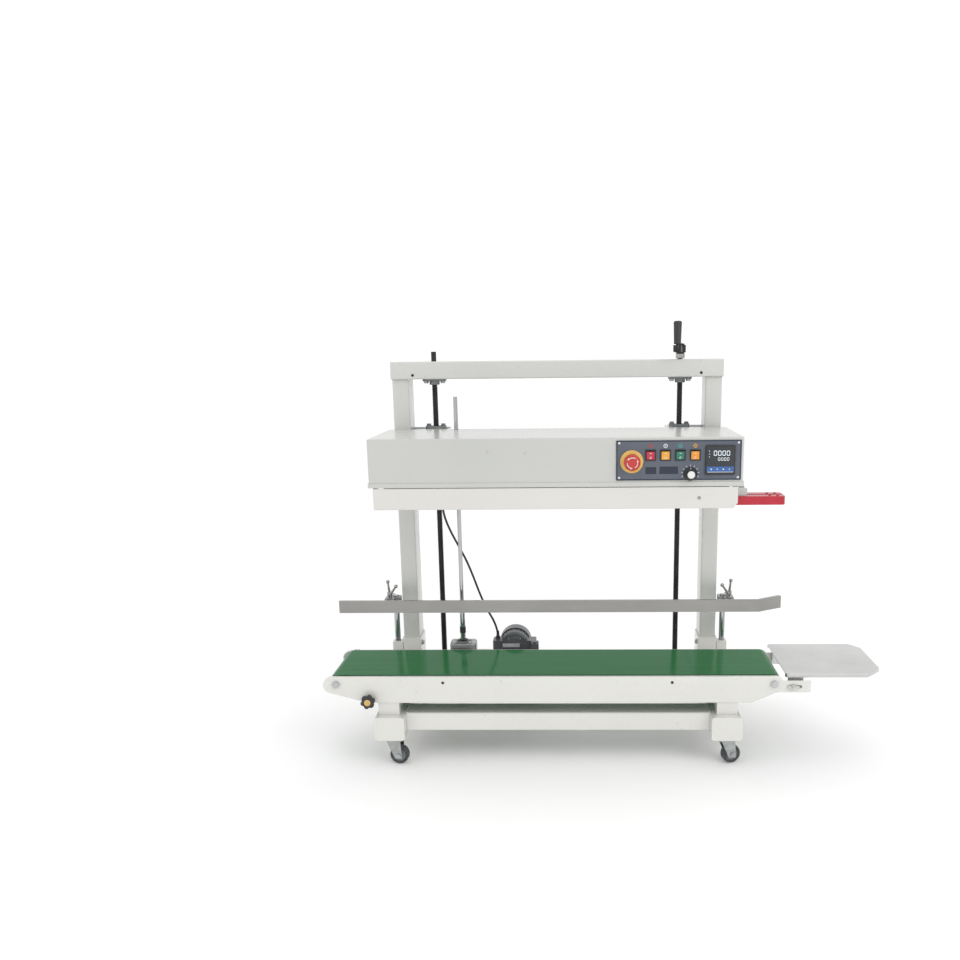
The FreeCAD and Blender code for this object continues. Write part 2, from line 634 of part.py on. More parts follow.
def guards():
    """Lower covers in front of and behind the bag slot."""
    z0, z1 = guard_bottom, guard_top
    y0, y1 = head_front, slot_y - 35
    outer = box(guard_left, guard_right, y0, y1, z0, z1)
    corner = prism([(guard_right - 12, y0 - 1, z0 - 1), (guard_right + 1, y0 - 1, z0 - 1),
                    (guard_right + 1, y0 - 1, z0 + 14)], V(0, 60, 0))
    outer = outer.cut(corner)
    outer = soft_edges(outer, 2.5, lambda c: c.y < y0 + 0.01)
    inner = box(guard_left + sheet, guard_right - sheet, y0 + sheet, y1 + 1, z0 + sheet, z1 + 1)
    shape = outer.cut(inner.cut(corner_wall(y0)))
    save("front_guard", shape.cut(rod(mid_x + 353, y0 - 1, 717.5, 3.2, 6, y_axis)))
    y0, y1 = slot_y + 35, head_back
    outer = box(guard_left, guard_right, y0, y1, z0, z1)
    inner = box(guard_left + sheet, guard_right - sheet, y0 - 1, y1 - sheet, z0 + sheet, z1 + 1)
    shape = outer.cut(inner)
    shape = shape.cut(rod(rod_x, rod_y, z0 - 1, 8.5, 5))
    gland = rod(cable_route[0][0], cable_route[0][1], cable_route[0][2], 7.0, z0 - cable_route[0][2])
    save("rear_guard", shape, gland)


def corner_wall(y0):
    """The cut corner of the front guard keeps its sheet thickness."""
    return prism([(guard_right - 15, y0 - 2, guard_bottom - 1), (guard_right + 1, y0 - 2, guard_bottom - 1),
                  (guard_right + 1, y0 - 2, guard_bottom + 17)], V(0, 70, 0))


def nut_brackets():
    """Carriages that wrap the columns and carry the lead nuts behind the head."""
    out = []
    for s in sides:
        def plate(z0, z1):
            a, b = mid_x + s * 302, mid_x + s * 448
            shape = box(min(a, b), max(a, b), head_back, frame_y + 50, z0, z1)
            c, d = mid_x + s * (column_x - column_size[0] / 2 - 1), mid_x + s * 460
            gap = box(min(c, d), max(c, d), frame_y - column_size[1] / 2 - 1, frame_y + column_size[1] / 2 + 1,
                      z0 - 1, z1 + 1)
            return shape.cut(gap)
        a, b = mid_x + s * 302, mid_x + s * 398
        web = box(min(a, b), max(a, b), head_back, head_back + 5, 758, 858)
        x = mid_x + s * screw_x
        bracket = fused(plate(856, 864), plate(752, 760), web)
        bracket = bracket.cut(rod(x, frame_y, 740, 15.0, 140))
        nut = rounded(box(x - 28, x + 28, frame_y - 16, frame_y + 16, 864, 871), 10, z_axis)
        nut = fused(nut, rod(x, frame_y, 826, 14.5, 38))
        nut = nut.cut(rod(x, frame_y, 820, screw_r + running_gap, 60))
        bolts = [bolt(x + d, frame_y, 871, z_axis) for d in (-20, 20)]
        out += [bracket, nut, *bolts]
    save("nut_brackets", *out)


def control_panel():
    y1 = head_front + sheet
    shape = rounded(box(panel_x[0], panel_x[1], y1 - face_t, y1, *panel_z), 2, y_axis)
    cuts = [rod(stop_x, y1 - 5, stop_z, 11.3, 10, y_axis), rod(dial_x, y1 - 5, dial_z, 3.4, 10, y_axis)]
    half = gauge_size / 2 - 2.5
    cuts.append(box(gauge_x - half, gauge_x + half, y1 - 5, y1 + 5, gauge_z - half, gauge_z + half))
    for x in rocker_x:
        cuts.append(box(x - 12, x + 12, y1 - 5, y1 + 5, rocker_z - 12.4, rocker_z + 12.4))
    for cut in cuts:
        shape = shape.cut(cut)
    save("control_panel", shape)


def stop_switch():
    y = head_front + sheet - face_t
    collar = revolved([(11.2, 0), (28, 0), (28, 2), (22, 6), (11.2, 6)], V(stop_x, y, stop_z), V(0, -1, 0))
    save("stop_collar", collar)
    outline = [(0, -12), (10.9, -12), (10.9, 14), (19, 14), (20, 16), (20, 22), (17, 27), (9, 29.5), (0, 30)]
    save("stop_button", revolved(outline, V(stop_x, y, stop_z), V(0, -1, 0)))


def rockers():
    y = head_front + sheet - face_t
    wx, wz = rocker_half
    bezels = []
    for i, x in enumerate(rocker_x):
        lip = rounded(box(x - 13.2, x + 13.2, y - 2.2, y, rocker_z - 13.6, rocker_z + 13.6), 1.5, y_axis)
        well = box(x - 11.8, x + 11.8, y, y + 18, rocker_z - 12.2, rocker_z + 12.2)
        cavity = box(x - wx - 0.7, x + wx + 0.7, y - 3, y + 15, rocker_z - wz - 1.2, rocker_z + wz + 1.2)
        bezels.append(fused(lip, well).cut(cavity))
        key = prism([(x - wx, y - 4.6, rocker_z - wz), (x - wx, y - 3.2, rocker_z), (x - wx, y - 4.6, rocker_z + wz),
                     (x - wx, y + 5, rocker_z + wz * 0.8), (x - wx, y + 5, rocker_z - wz * 0.8)], V(2 * wx, 0, 0))
        save(f"rocker_{i + 1}", turned(key, (x, y + 1, rocker_z), x_axis, rocker_tilt))
    save("rocker_bezels", *bezels)


def speed_dial():
    y = head_front + sheet - face_t
    outline = [(0, -14), (3.2, -14), (3.2, 1), (16.8, 1), (16.2, 8), (12, 10), (11.2, 20), (10, 21.5), (0, 21.5)]
    save("speed_dial", revolved(outline, V(dial_x, y, dial_z), V(0, -1, 0)))


def temperature_gauge():
    y = head_front + sheet - face_t
    half = gauge_size / 2
    bezel = rounded(box(gauge_x - half, gauge_x + half, y - 6, y, gauge_z - half, gauge_z + half), 3, y_axis)
    bezel = soft_edges(bezel, 1.2, lambda c: c.y < y - 5.99)
    body = box(gauge_x - half + 3, gauge_x + half - 3, y, y + 62, gauge_z - half + 3, gauge_z + half - 3)
    save("temperature_gauge", fused(bezel, body))


def band_wheel_y():
    off = band_nip + band_t + band_gap + band_wheel_r
    return slot_y - off, slot_y + off


def sealing_bands():
    r_in = band_wheel_r + band_gap
    z = guard_bottom + 11
    loops = [loop_band(mid_x - wheel_span, mid_x + wheel_span, y, z, r_in, r_in + band_t, 15, z_axis)
             for y in band_wheel_y()]
    save("sealing_bands", *loops)


def band_wheels():
    z = guard_bottom + 9
    for row, y in zip(("front", "rear"), band_wheel_y()):
        for end, x in (("drive", mid_x - wheel_span), ("idle", mid_x + wheel_span)):
            rim = rod(x, y, z, band_wheel_r, 19)
            rim = rim.cut(ring(x, y, z - 1, band_wheel_r - 6, 12, 8))
            axle = rod(x, y, z, axle_r, tray_z + 18 - z)
            hub = rod(x, y, tray_z + sheet + 0.5, 12, 12)
            save(f"{row}_{end}_wheel", fused(rim, axle, hub))


def sealing_blocks():
    """Heating pair, then cooling pair, each pressing a band from inside its loop."""
    out = []
    off = band_nip + band_t + 0.4
    for x0, x1 in ((mid_x + 60, mid_x + 180), (mid_x - 120, mid_x + 20)):
        for s in sides:
            a, b = slot_y + s * off, slot_y + s * (off + 18)
            block = box(x0, x1, min(a, b), max(a, b), guard_bottom + 10, guard_bottom + 27)
            posts = [rod(x, (a + b) / 2, guard_bottom + 20, 5, tray_z - guard_bottom - 20) for x in (x0 + 20, x1 - 20)]
            out.append(fused(block, *posts))
    save("sealing_blocks", *out)


def drive_sleeve():
    sleeve = rod(rod_x, rod_y, tray_z + 4, 9.0, 44)
    wheel = rod(rod_x, rod_y, tray_z + 28, 13.5, 12)
    shape = fused(sleeve, wheel).cut(rod(rod_x, rod_y, tray_z, rod_r + running_gap, 60))
    save("drive_sleeve", shape)


def infeed_guides():
    out = []
    x0, x1 = guide_x
    for s in sides:
        a = slot_y + s * guide_gap / 2
        b = slot_y + s * (guide_gap / 2 + guide_w)
        bar = box(x0 - 22, x1, min(a, b), max(a, b), *guide_z)
        bar = bar.makeFillet(9.0, [e for e in bar.Edges if e.CenterOfMass.x > x1 - 0.01
                                   and abs(e.CenterOfMass.z - sum(guide_z) / 2) < 0.01
                                   and abs(e.CenterOfMass.y - b) < 0.01])
        out.append(bar)
    save("infeed_guides", *out)


# ---- motor cable: hangs from the head's rear guard to the motor ----
cable_route = [(mid_x - 318, 18, 683), (mid_x - 318, 18, 646), (mid_x - 304, 28, 594), (mid_x - 279, 42, 538),
               (mid_x - 252, 49, 480), (mid_x - 215, 57, 365), (mid_x - 177, 66, 294), (mid_x - 177, 66, 262)]


def motor_cable():
    points = [V(*p) for p in cable_route]
    edges, at, length = [], points[0], 0.0
    for i in range(1, len(points) - 1):
        a, b, c = points[i - 1], points[i], points[i + 1]
        into, out = (b - a), (c - b)
        turn = into.getAngle(out)
        reach = 0.45 * min(into.Length, out.Length)
        radius = reach / math.tan(turn / 2)
        into.normalize()
        out.normalize()
        start, end = b - into * reach, b + out * reach
        centre_way = (out - into).normalize()
        middle = b + centre_way * (radius / math.cos(turn / 2) - radius)
        edges.append(Part.LineSegment(at, start).toShape())
        edges.append(Part.Arc(start, middle, end).toShape())
        length += (start - at).Length + radius * turn
        print(f"cable point {i}: turn {math.degrees(turn):5.1f} deg, radius {radius:7.1f} mm")
        at = end
    edges.append(Part.LineSegment(at, points[-1]).toShape())
    length += (points[-1] - at).Length
    path = Part.Wire(edges)
    start_way = (points[1] - points[0]).normalize()
    circle = Part.Wire(Part.makeCircle(cable_r, points[0], start_way))
    tube = path.makePipeShell([circle], True, False)
    print(f"cable length {length:.1f} mm, volume ratio {tube.Volume / (math.pi * cable_r ** 2 * length):.4f}")
    save("motor_cable", tube)


base_frame()
columns()
top_beam()
screw_bearings()
frame_bolts()
roller_chains()
lead_screws()
crank()
drive_rod()
bevel_gearbox()
gear_motor()
side_panels()
conveyor_bed()
conveyor_belt()
rollers()
star_knob()
infeed_plate()
rail_posts()
rail_clamps()
clamp_levers()
guide_rail()
casters()
head_tray()
head_cover()
guards()
nut_brackets()
control_panel()
stop_switch()
rockers()
speed_dial()
temperature_gauge()
sealing_bands()
band_wheels()
sealing_blocks()
drive_sleeve()
infeed_guides()
motor_cable()
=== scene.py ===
import math
import bmesh
import bpy
from mathutils import Matrix, Vector


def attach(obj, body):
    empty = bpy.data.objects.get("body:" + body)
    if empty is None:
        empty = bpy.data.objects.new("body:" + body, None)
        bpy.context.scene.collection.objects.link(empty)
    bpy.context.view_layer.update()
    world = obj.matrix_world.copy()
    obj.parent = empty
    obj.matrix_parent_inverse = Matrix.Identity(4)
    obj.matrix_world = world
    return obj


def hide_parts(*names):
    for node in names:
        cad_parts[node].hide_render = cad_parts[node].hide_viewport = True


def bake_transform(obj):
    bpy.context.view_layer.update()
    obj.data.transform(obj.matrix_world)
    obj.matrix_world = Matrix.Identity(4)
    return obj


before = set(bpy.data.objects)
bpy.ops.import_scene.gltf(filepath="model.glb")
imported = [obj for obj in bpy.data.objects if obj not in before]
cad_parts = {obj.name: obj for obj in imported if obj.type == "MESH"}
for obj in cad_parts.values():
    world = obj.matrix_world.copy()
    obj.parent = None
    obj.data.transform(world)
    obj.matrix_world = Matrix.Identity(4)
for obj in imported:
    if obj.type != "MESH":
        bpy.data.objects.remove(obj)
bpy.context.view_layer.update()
scene = bpy.context.scene
print("frame loaded:", len(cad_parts), "nodes")

mm = 0.001
midX, beltY, frameY, slotY = -117.0, -110.0, 90.0, -150.0    # the machine's centre planes, mm
xAxis, yAxis, zAxis = Vector((1, 0, 0)), Vector((0, 1, 0)), Vector((0, 0, 1))
sides = (-1, 1)


def at(x, y, z):    # a place given in millimetres
    return Vector((x, y, z)) * mm


# ---- camera, world and lights ----
cameraSettings = {"place": (-0.0628, -2.4523, 1.0813), "pitch": 12.332, "yaw": 1.434, "roll": -0.594,
                  "lens": 34.158, "shift": (-0.0782, 0.0692)}
lightSettings = {
    "sky": {"colour": (1.0, 1.0, 1.0), "strength": 1.06},
    "key": {"place": (2.2, -2.6, 2.8), "target": (0.0, 0.0, 0.7), "size": 2.0, "power": 26.0},
    "fill": {"place": (-3.0, -2.2, 1.6), "target": (0.0, 0.0, 0.6), "size": 2.6, "power": 3.0},
    "top": {"place": (0.0, 0.6, 3.4), "target": (0.0, 0.0, 0.5), "size": 2.6, "power": 3.0},
}
floorSettings = {"half": 14.0, "colour": (0.96, 0.96, 0.96)}


def makeCamera():
    s = cameraSettings
    data = bpy.data.cameras.new("viewCamera")
    data.lens, data.sensor_width = s["lens"], 36.0
    data.shift_x, data.shift_y = s["shift"]
    data.clip_end = 60.0
    camera = bpy.data.objects.new("viewCamera", data)
    scene.collection.objects.link(camera)
    turn = (Matrix.Rotation(math.radians(s["yaw"]), 4, "Z")
            @ Matrix.Rotation(math.radians(90 - s["pitch"]), 4, "X")
            @ Matrix.Rotation(math.radians(s["roll"]), 4, "Z"))
    camera.matrix_world = Matrix.Translation(s["place"]) @ turn
    scene.camera = camera


def makeLights():
    sky = bpy.data.worlds.new("paleRoom")
    sky.use_nodes = True
    back = sky.node_tree.nodes["Background"]
    back.inputs["Color"].default_value = (*lightSettings["sky"]["colour"], 1)
    back.inputs["Strength"].default_value = lightSettings["sky"]["strength"]
    scene.world = sky
    for name in ("key", "fill", "top"):
        s = lightSettings[name]
        data = bpy.data.lights.new(name + "Light", "AREA")
        data.shape, data.size, data.energy = "DISK", s["size"], s["power"]
        lamp = bpy.data.objects.new(name + "Light", data)
        scene.collection.objects.link(lamp)
        lamp.location = s["place"]
        lamp.rotation_euler = (Vector(s["target"]) - Vector(s["place"])).to_track_quat("-Z", "Y").to_euler()
    scene.view_settings.view_transform = "Standard"


makeCamera()
makeLights()
print("camera and lights made")


# ---- finishes ----
def nodesOf(name):
    material = bpy.data.materials.new(name)
    material.use_nodes = True
    tree = material.node_tree
    return material, tree, tree.nodes["Principled BSDF"]


def add(tree, kind, **values):    # a node with its input values set by name
    node = tree.nodes.new(kind)
    for key, value in values.items():
        node.inputs[key.replace("_", " ")].default_value = value
    return node


def grain(tree, scale, stretch=(1, 1, 1), detail=4.0, turn=(0, 0, 0)):
    place = tree.nodes.new("ShaderNodeTexCoord")
    fit = tree.nodes.new("ShaderNodeMapping")
    fit.inputs["Scale"].default_value = stretch
    fit.inputs["Rotation"].default_value = turn
    noise = add(tree, "ShaderNodeTexNoise", Scale=scale, Detail=detail)
    tree.links.new(place.outputs["Object"], fit.inputs["Vector"])
    tree.links.new(fit.outputs["Vector"], noise.inputs["Vector"])
    return noise.outputs["Fac"]


def spread(tree, source, low, high, fromLow=0.3, fromHigh=0.7):
    node = add(tree, "ShaderNodeMapRange", From_Min=fromLow, From_Max=fromHigh, To_Min=low, To_Max=high)
    tree.links.new(source, node.inputs["Value"])
    return node.outputs["Result"]


def blendColours(tree, factor, first, second):
    node = tree.nodes.new("ShaderNodeMix")
    node.data_type = "RGBA"
    node.inputs[6].default_value = (*first, 1)
    node.inputs[7].default_value = (*second, 1)
    tree.links.new(factor, node.inputs[0])
    return node.outputs[2]


def addBump(tree, shader, height, strength, distance):
    bump = add(tree, "ShaderNodeBump", Strength=strength, Distance=distance)
    tree.links.new(height, bump.inputs["Height"])
    tree.links.new(bump.outputs["Normal"], shader.inputs["Normal"])


def fixed(shader, values):
    for key, value in values.items():
        shader.inputs[key].default_value = value


def mottled(name, s):    # one colour drifting to another, with its own roughness drift and surface grain
    material, tree, shader = nodesOf(name)
    stretch = s.get("stretch", (1, 1, 1))
    drift = grain(tree, s.get("driftScale", 9.0), detail=3.0)
    fine = grain(tree, s["grainScale"], stretch, s.get("detail", 4.0))
    colour = blendColours(tree, spread(tree, drift, 0, 1, 0.35, 0.65), s["colour"], s["drift"])
    if "speck" in s:
        mask = spread(tree, grain(tree, s["speckScale"], stretch, 2.0), 0, 1, s.get("speckFrom", 0.62),
                      s.get("speckTo", 0.72))
        node = tree.nodes.new("ShaderNodeMix")
        node.data_type = "RGBA"
        node.inputs[7].default_value = (*s["speck"], 1)
        tree.links.new(mask, node.inputs[0])
        tree.links.new(colour, node.inputs[6])
        colour = node.outputs[2]
    tree.links.new(colour, shader.inputs["Base Color"])
    tree.links.new(spread(tree, fine, *s["rough"]), shader.inputs["Roughness"])
    addBump(tree, shader, fine, s.get("bump", 0.1), s.get("depth", 0.0002))
    fixed(shader, {"Metallic": s.get("metal", 0.0), **s.get("shader", {})})
    return material


finishSettings = {
    "powderPaint": {"colour": (0.700, 0.695, 0.658), "drift": (0.668, 0.664, 0.630), "grainScale": 420.0,
                    "driftScale": 3.0,
                    "rough": (0.20, 0.30), "bump": 0.05, "depth": 0.0003, "speck": (0.52, 0.51, 0.47),
                    "speckScale": 60.0,
                    "speckFrom": 0.70, "speckTo": 0.80,
                    "shader": {"Coat Weight": 0.35, "Coat Roughness": 0.12}},
    # the machine's one white paint, set darker here as painted shade on the columns, top beam and nut
    # carriages
    "columnPaint": {"colour": (0.590, 0.592, 0.564), "drift": (0.560, 0.564, 0.538), "grainScale": 420.0,
                    "driftScale": 3.0,
                    "rough": (0.22, 0.32), "bump": 0.05, "depth": 0.0003, "speck": (0.42, 0.41, 0.38),
                    "speckScale": 60.0,
                    "speckFrom": 0.70, "speckTo": 0.80,
                    "shader": {"Coat Weight": 0.3, "Coat Roughness": 0.12}},
    # the machine's one white paint, set darker here as painted shade on the head cover and tray
    "headPaint": {"colour": (0.540, 0.546, 0.520), "drift": (0.512, 0.519, 0.494), "grainScale": 380.0,
                  "driftScale": 2.2,
                  "rough": (0.20, 0.29), "bump": 0.04, "depth": 0.0003, "speck": (0.45, 0.44, 0.41),
                  "speckScale": 45.0,
                  "speckFrom": 0.72, "speckTo": 0.82,
                  "shader": {"Specular IOR Level": 0.3, "Coat Weight": 0.1, "Coat Roughness": 0.15}},
    # the head cover's white paint, set lighter here as painted floor light on the lower guards
    "guardPaint": {"colour": (0.660, 0.650, 0.620), "drift": (0.630, 0.622, 0.595), "grainScale": 380.0,
                   "driftScale": 2.2,
                   "rough": (0.20, 0.29), "bump": 0.04, "depth": 0.0003, "speck": (0.58, 0.57, 0.53),
                   "speckScale": 45.0,
                   "speckFrom": 0.72, "speckTo": 0.82,
                   "shader": {"Specular IOR Level": 0.3, "Coat Weight": 0.1, "Coat Roughness": 0.15}},
    "castIron": {"colour": (0.27, 0.28, 0.28), "drift": (0.19, 0.20, 0.21), "grainScale": 900.0,
                 "rough": (0.42, 0.62),
                 "metal": 0.85, "bump": 0.35, "depth": 0.0004},
    "zincPlate": {"colour": (0.46, 0.49, 0.50), "drift": (0.36, 0.37, 0.35), "grainScale": 700.0,
                  "driftScale": 60.0,
                  "rough": (0.24, 0.42), "metal": 1.0, "bump": 0.08, "speck": (0.40, 0.37, 0.30),
                  "speckScale": 260.0},
    "chainSteel": {"colour": (0.20, 0.19, 0.18), "drift": (0.12, 0.11, 0.10), "grainScale": 1200.0,
                   "driftScale": 40.0,
                   "rough": (0.30, 0.5), "metal": 1.0, "bump": 0.15},
    "castAluminium": {"colour": (0.42, 0.42, 0.42), "drift": (0.32, 0.32, 0.33), "grainScale": 1100.0,
                      "driftScale": 25.0,
                      "rough": (0.36, 0.55), "metal": 0.95, "bump": 0.3, "depth": 0.0003},
    "motorPaint": {"colour": (0.075, 0.083, 0.090), "drift": (0.055, 0.060, 0.066), "grainScale": 800.0,
                   "driftScale": 20.0,
                   "rough": (0.28, 0.42), "bump": 0.25, "depth": 0.0003,
                   "shader": {"Coat Weight": 0.2, "Coat Roughness": 0.2}},
    "galvanised": {"colour": (0.42, 0.43, 0.43), "drift": (0.33, 0.34, 0.35), "grainScale": 160.0,
                   "driftScale": 70.0,
                   "rough": (0.30, 0.45), "metal": 1.0, "bump": 0.05, "speck": (0.50, 0.51, 0.51),
                   "speckScale": 90.0},
    "chrome": {"colour": (0.47, 0.48, 0.49), "drift": (0.40, 0.41, 0.42), "grainScale": 300.0,
               "stretch": (1, 1, 0.05),
               "rough": (0.06, 0.14), "metal": 1.0, "bump": 0.03},
    "cableSheath": {"colour": (0.020, 0.020, 0.022), "drift": (0.030, 0.030, 0.032), "grainScale": 600.0,
                    "rough": (0.42, 0.58),
                    "bump": 0.2, "depth": 0.0002, "shader": {"Specular IOR Level": 0.4}},
    "panelBlue": {"colour": (0.092, 0.108, 0.140), "drift": (0.080, 0.094, 0.122), "grainScale": 1500.0,
                  "driftScale": 20.0,
                  "rough": (0.26, 0.36), "bump": 0.12, "depth": 0.0001,
                  "shader": {"Coat Weight": 0.25, "Coat Roughness": 0.2}},
    "navyInk": {"colour": (0.016, 0.022, 0.042), "drift": (0.020, 0.027, 0.050), "grainScale": 1500.0,
                "rough": (0.28, 0.4)},
    "yellowPlastic": {"colour": (0.74, 0.45, 0.11), "drift": (0.68, 0.39, 0.09), "grainScale": 1200.0,
                      "driftScale": 50.0,
                      "rough": (0.26, 0.38), "bump": 0.06, "shader": {"Subsurface Weight": 0.05}},
    "blackPlastic": {"colour": (0.018, 0.019, 0.021), "drift": (0.026, 0.027, 0.029), "grainScale": 1600.0,
                     "driftScale": 60.0,
                     "rough": (0.30, 0.46), "bump": 0.14, "depth": 0.0001},
    "bandTeflon": {"colour": (0.20, 0.115, 0.05), "drift": (0.155, 0.085, 0.036), "grainScale": 900.0,
                   "driftScale": 60.0,
                   "stretch": (1, 1, 3), "rough": (0.3, 0.45), "bump": 0.3, "depth": 0.0002},
    "brass": {"colour": (0.72, 0.50, 0.20), "drift": (0.60, 0.40, 0.16), "grainScale": 500.0,
              "driftScale": 60.0,
              "rough": (0.20, 0.36), "metal": 1.0, "bump": 0.08},
    "redEnamel": {"colour": (0.47, 0.030, 0.048), "drift": (0.41, 0.024, 0.040), "grainScale": 350.0,
                  "driftScale": 30.0,
                  "rough": (0.22, 0.32), "bump": 0.06, "depth": 0.0002,
                  "shader": {"Specular IOR Level": 0.3, "Coat Weight": 0.1, "Coat Roughness": 0.12}},
    "blackOxide": {"colour": (0.026, 0.026, 0.028), "drift": (0.040, 0.040, 0.042), "grainScale": 700.0,
                   "driftScale": 40.0,
                   "rough": (0.24, 0.40), "metal": 0.75, "bump": 0.1},
    "gripRubber": {"colour": (0.020, 0.020, 0.021), "drift": (0.028, 0.028, 0.029), "grainScale": 900.0,
                   "rough": (0.34, 0.50),
                   "bump": 0.2, "depth": 0.0002},
    "rollerSteel": {"colour": (0.56, 0.57, 0.58), "drift": (0.46, 0.47, 0.48), "grainScale": 900.0,
                    "stretch": (1, 0.05, 1),
                    "rough": (0.22, 0.36), "metal": 1.0, "bump": 0.06},
    "brushedPlate": {"colour": (0.60, 0.60, 0.59), "drift": (0.54, 0.54, 0.535), "grainScale": 620.0,
                     "driftScale": 7.0,
                     "stretch": (0.02, 1, 1), "rough": (0.22, 0.40), "metal": 1.0, "bump": 0.10,
                     "depth": 0.0002,
                     "shader": {"Anisotropic": 0.4}},
    "brushedRail": {"colour": (0.345, 0.338, 0.325), "drift": (0.300, 0.295, 0.285), "grainScale": 700.0,
                    "driftScale": 5.0,
                    "stretch": (0.015, 1, 1), "rough": (0.26, 0.42), "metal": 1.0, "bump": 0.10,
                    "depth": 0.0002,
                    "shader": {"Anisotropic": 0.4}},
    "leverSteel": {"colour": (0.42, 0.42, 0.41), "drift": (0.33, 0.33, 0.32), "grainScale": 600.0,
                   "driftScale": 80.0,
                   "rough": (0.14, 0.26), "metal": 1.0, "bump": 0.05},
    "stopRed": {"colour": (0.50, 0.030, 0.024), "drift": (0.44, 0.024, 0.019), "grainScale": 1200.0,
                "driftScale": 60.0,
                "rough": (0.20, 0.32), "bump": 0.06, "shader": {"Coat Weight": 0.3, "Coat Roughness": 0.15}},
    "rockerRed": {"colour": (0.50, 0.010, 0.045), "drift": (0.44, 0.008, 0.038), "grainScale": 900.0,
                  "driftScale": 120.0,
                  "rough": (0.12, 0.22), "bump": 0.05,
                  "shader": {"Coat Weight": 0.5, "Coat Roughness": 0.06}},
    "rockerYellow": {"colour": (0.80, 0.37, 0.018), "drift": (0.72, 0.31, 0.014), "grainScale": 900.0,
                     "driftScale": 120.0,
                     "rough": (0.12, 0.22), "bump": 0.05,
                     "shader": {"Coat Weight": 0.5, "Coat Roughness": 0.06}},
    "rockerGreen": {"colour": (0.004, 0.165, 0.105), "drift": (0.004, 0.135, 0.088), "grainScale": 900.0,
                    "driftScale": 120.0,
                    "rough": (0.12, 0.22), "bump": 0.05,
                    "shader": {"Coat Weight": 0.5, "Coat Roughness": 0.06}},
    "rockerOrange": {"colour": (0.80, 0.31, 0.012), "drift": (0.72, 0.26, 0.010), "grainScale": 900.0,
                     "driftScale": 120.0,
                     "rough": (0.12, 0.22), "bump": 0.05,
                     "shader": {"Coat Weight": 0.5, "Coat Roughness": 0.06}},
    "whiteMark": {"colour": (0.80, 0.82, 0.82), "drift": (0.72, 0.74, 0.75), "grainScale": 1500.0,
                  "rough": (0.35, 0.5)},
    "tealMark": {"colour": (0.03, 0.36, 0.34), "drift": (0.03, 0.30, 0.29), "grainScale": 1500.0,
                 "rough": (0.35, 0.5)},
    "keyBlue": {"colour": (0.045, 0.130, 0.36), "drift": (0.040, 0.115, 0.32), "grainScale": 1500.0,
                "rough": (0.28, 0.4)},
    "smokedGlass": {"colour": (0.010, 0.012, 0.016), "drift": (0.014, 0.016, 0.020), "grainScale": 300.0,
                    "rough": (0.05, 0.10),
                    "bump": 0.02, "shader": {"Coat Weight": 0.6, "Coat Roughness": 0.04}},
    "whitePlastic": {"colour": (0.78, 0.79, 0.78), "drift": (0.70, 0.71, 0.70), "grainScale": 1200.0,
                     "rough": (0.25, 0.4),
                     "bump": 0.05},
    "casterRubber": {"colour": (0.050, 0.053, 0.058), "drift": (0.034, 0.036, 0.040), "grainScale": 700.0,
                     "driftScale": 70.0,
                     "rough": (0.45, 0.66), "bump": 0.3, "depth": 0.0003, "speck": (0.16, 0.155, 0.145),
                     "speckScale": 180.0},
    "wheelHub": {"colour": (0.22, 0.23, 0.25), "drift": (0.17, 0.18, 0.19), "grainScale": 900.0,
                 "rough": (0.35, 0.5)},
    "wheelAlloy": {"colour": (0.58, 0.59, 0.60), "drift": (0.48, 0.49, 0.50), "grainScale": 900.0,
                   "driftScale": 50.0,
                   "rough": (0.24, 0.4), "metal": 1.0, "bump": 0.1},
    "blankPlate": {"colour": (0.66, 0.67, 0.66), "drift": (0.58, 0.59, 0.58), "grainScale": 900.0,
                   "stretch": (0.05, 1, 1),
                   "rough": (0.25, 0.4), "metal": 0.7, "bump": 0.06},
    "weldBead": {"colour": (0.60, 0.60, 0.575), "drift": (0.55, 0.55, 0.525), "grainScale": 500.0,
                 "rough": (0.25, 0.4),
                 "bump": 0.3, "depth": 0.0006},
}


def beltGreenFinish():    # smooth coated face: soft lengthwise streaks and a faint woven show-through
    material, tree, shader = nodesOf("beltGreen")
    streak = grain(tree, 60.0, (0.04, 1, 1), 5.0)
    weave = tree.nodes.new("ShaderNodeTexWave")
    weave.inputs["Scale"].default_value = 420.0
    weave.inputs["Distortion"].default_value = 0.6
    place = tree.nodes.new("ShaderNodeTexCoord")
    tree.links.new(place.outputs["Object"], weave.inputs["Vector"])
    colour = blendColours(tree, spread(tree, streak, 0, 1, 0.3, 0.7), (0.031, 0.150, 0.055),
                          (0.027, 0.136, 0.049))
    tree.links.new(colour, shader.inputs["Base Color"])
    tree.links.new(spread(tree, streak, 0.08, 0.15), shader.inputs["Roughness"])
    addBump(tree, shader, weave.outputs["Fac"], 0.06, 0.0001)
    fixed(shader, {"IOR": 1.11})
    return material


def litFigureFinish():    # the display's lit figures, uneven like real segments
    material, tree, shader = nodesOf("litFigure")
    glow = grain(tree, 700.0)
    colour = blendColours(tree, spread(tree, glow, 0, 1), (0.80, 0.86, 0.90), (0.66, 0.76, 0.84))
    tree.links.new(colour, shader.inputs["Base Color"])
    tree.links.new(colour, shader.inputs["Emission Color"])
    fixed(shader, {"Emission Strength": 0.5, "Roughness": 0.4})
    return material


finishes = {name: mottled(name, s) for name, s in finishSettings.items()}
finishes["beltGreen"] = beltGreenFinish()
finishes["litFigure"] = litFigureFinish()
print("finishes made:", len(finishes))


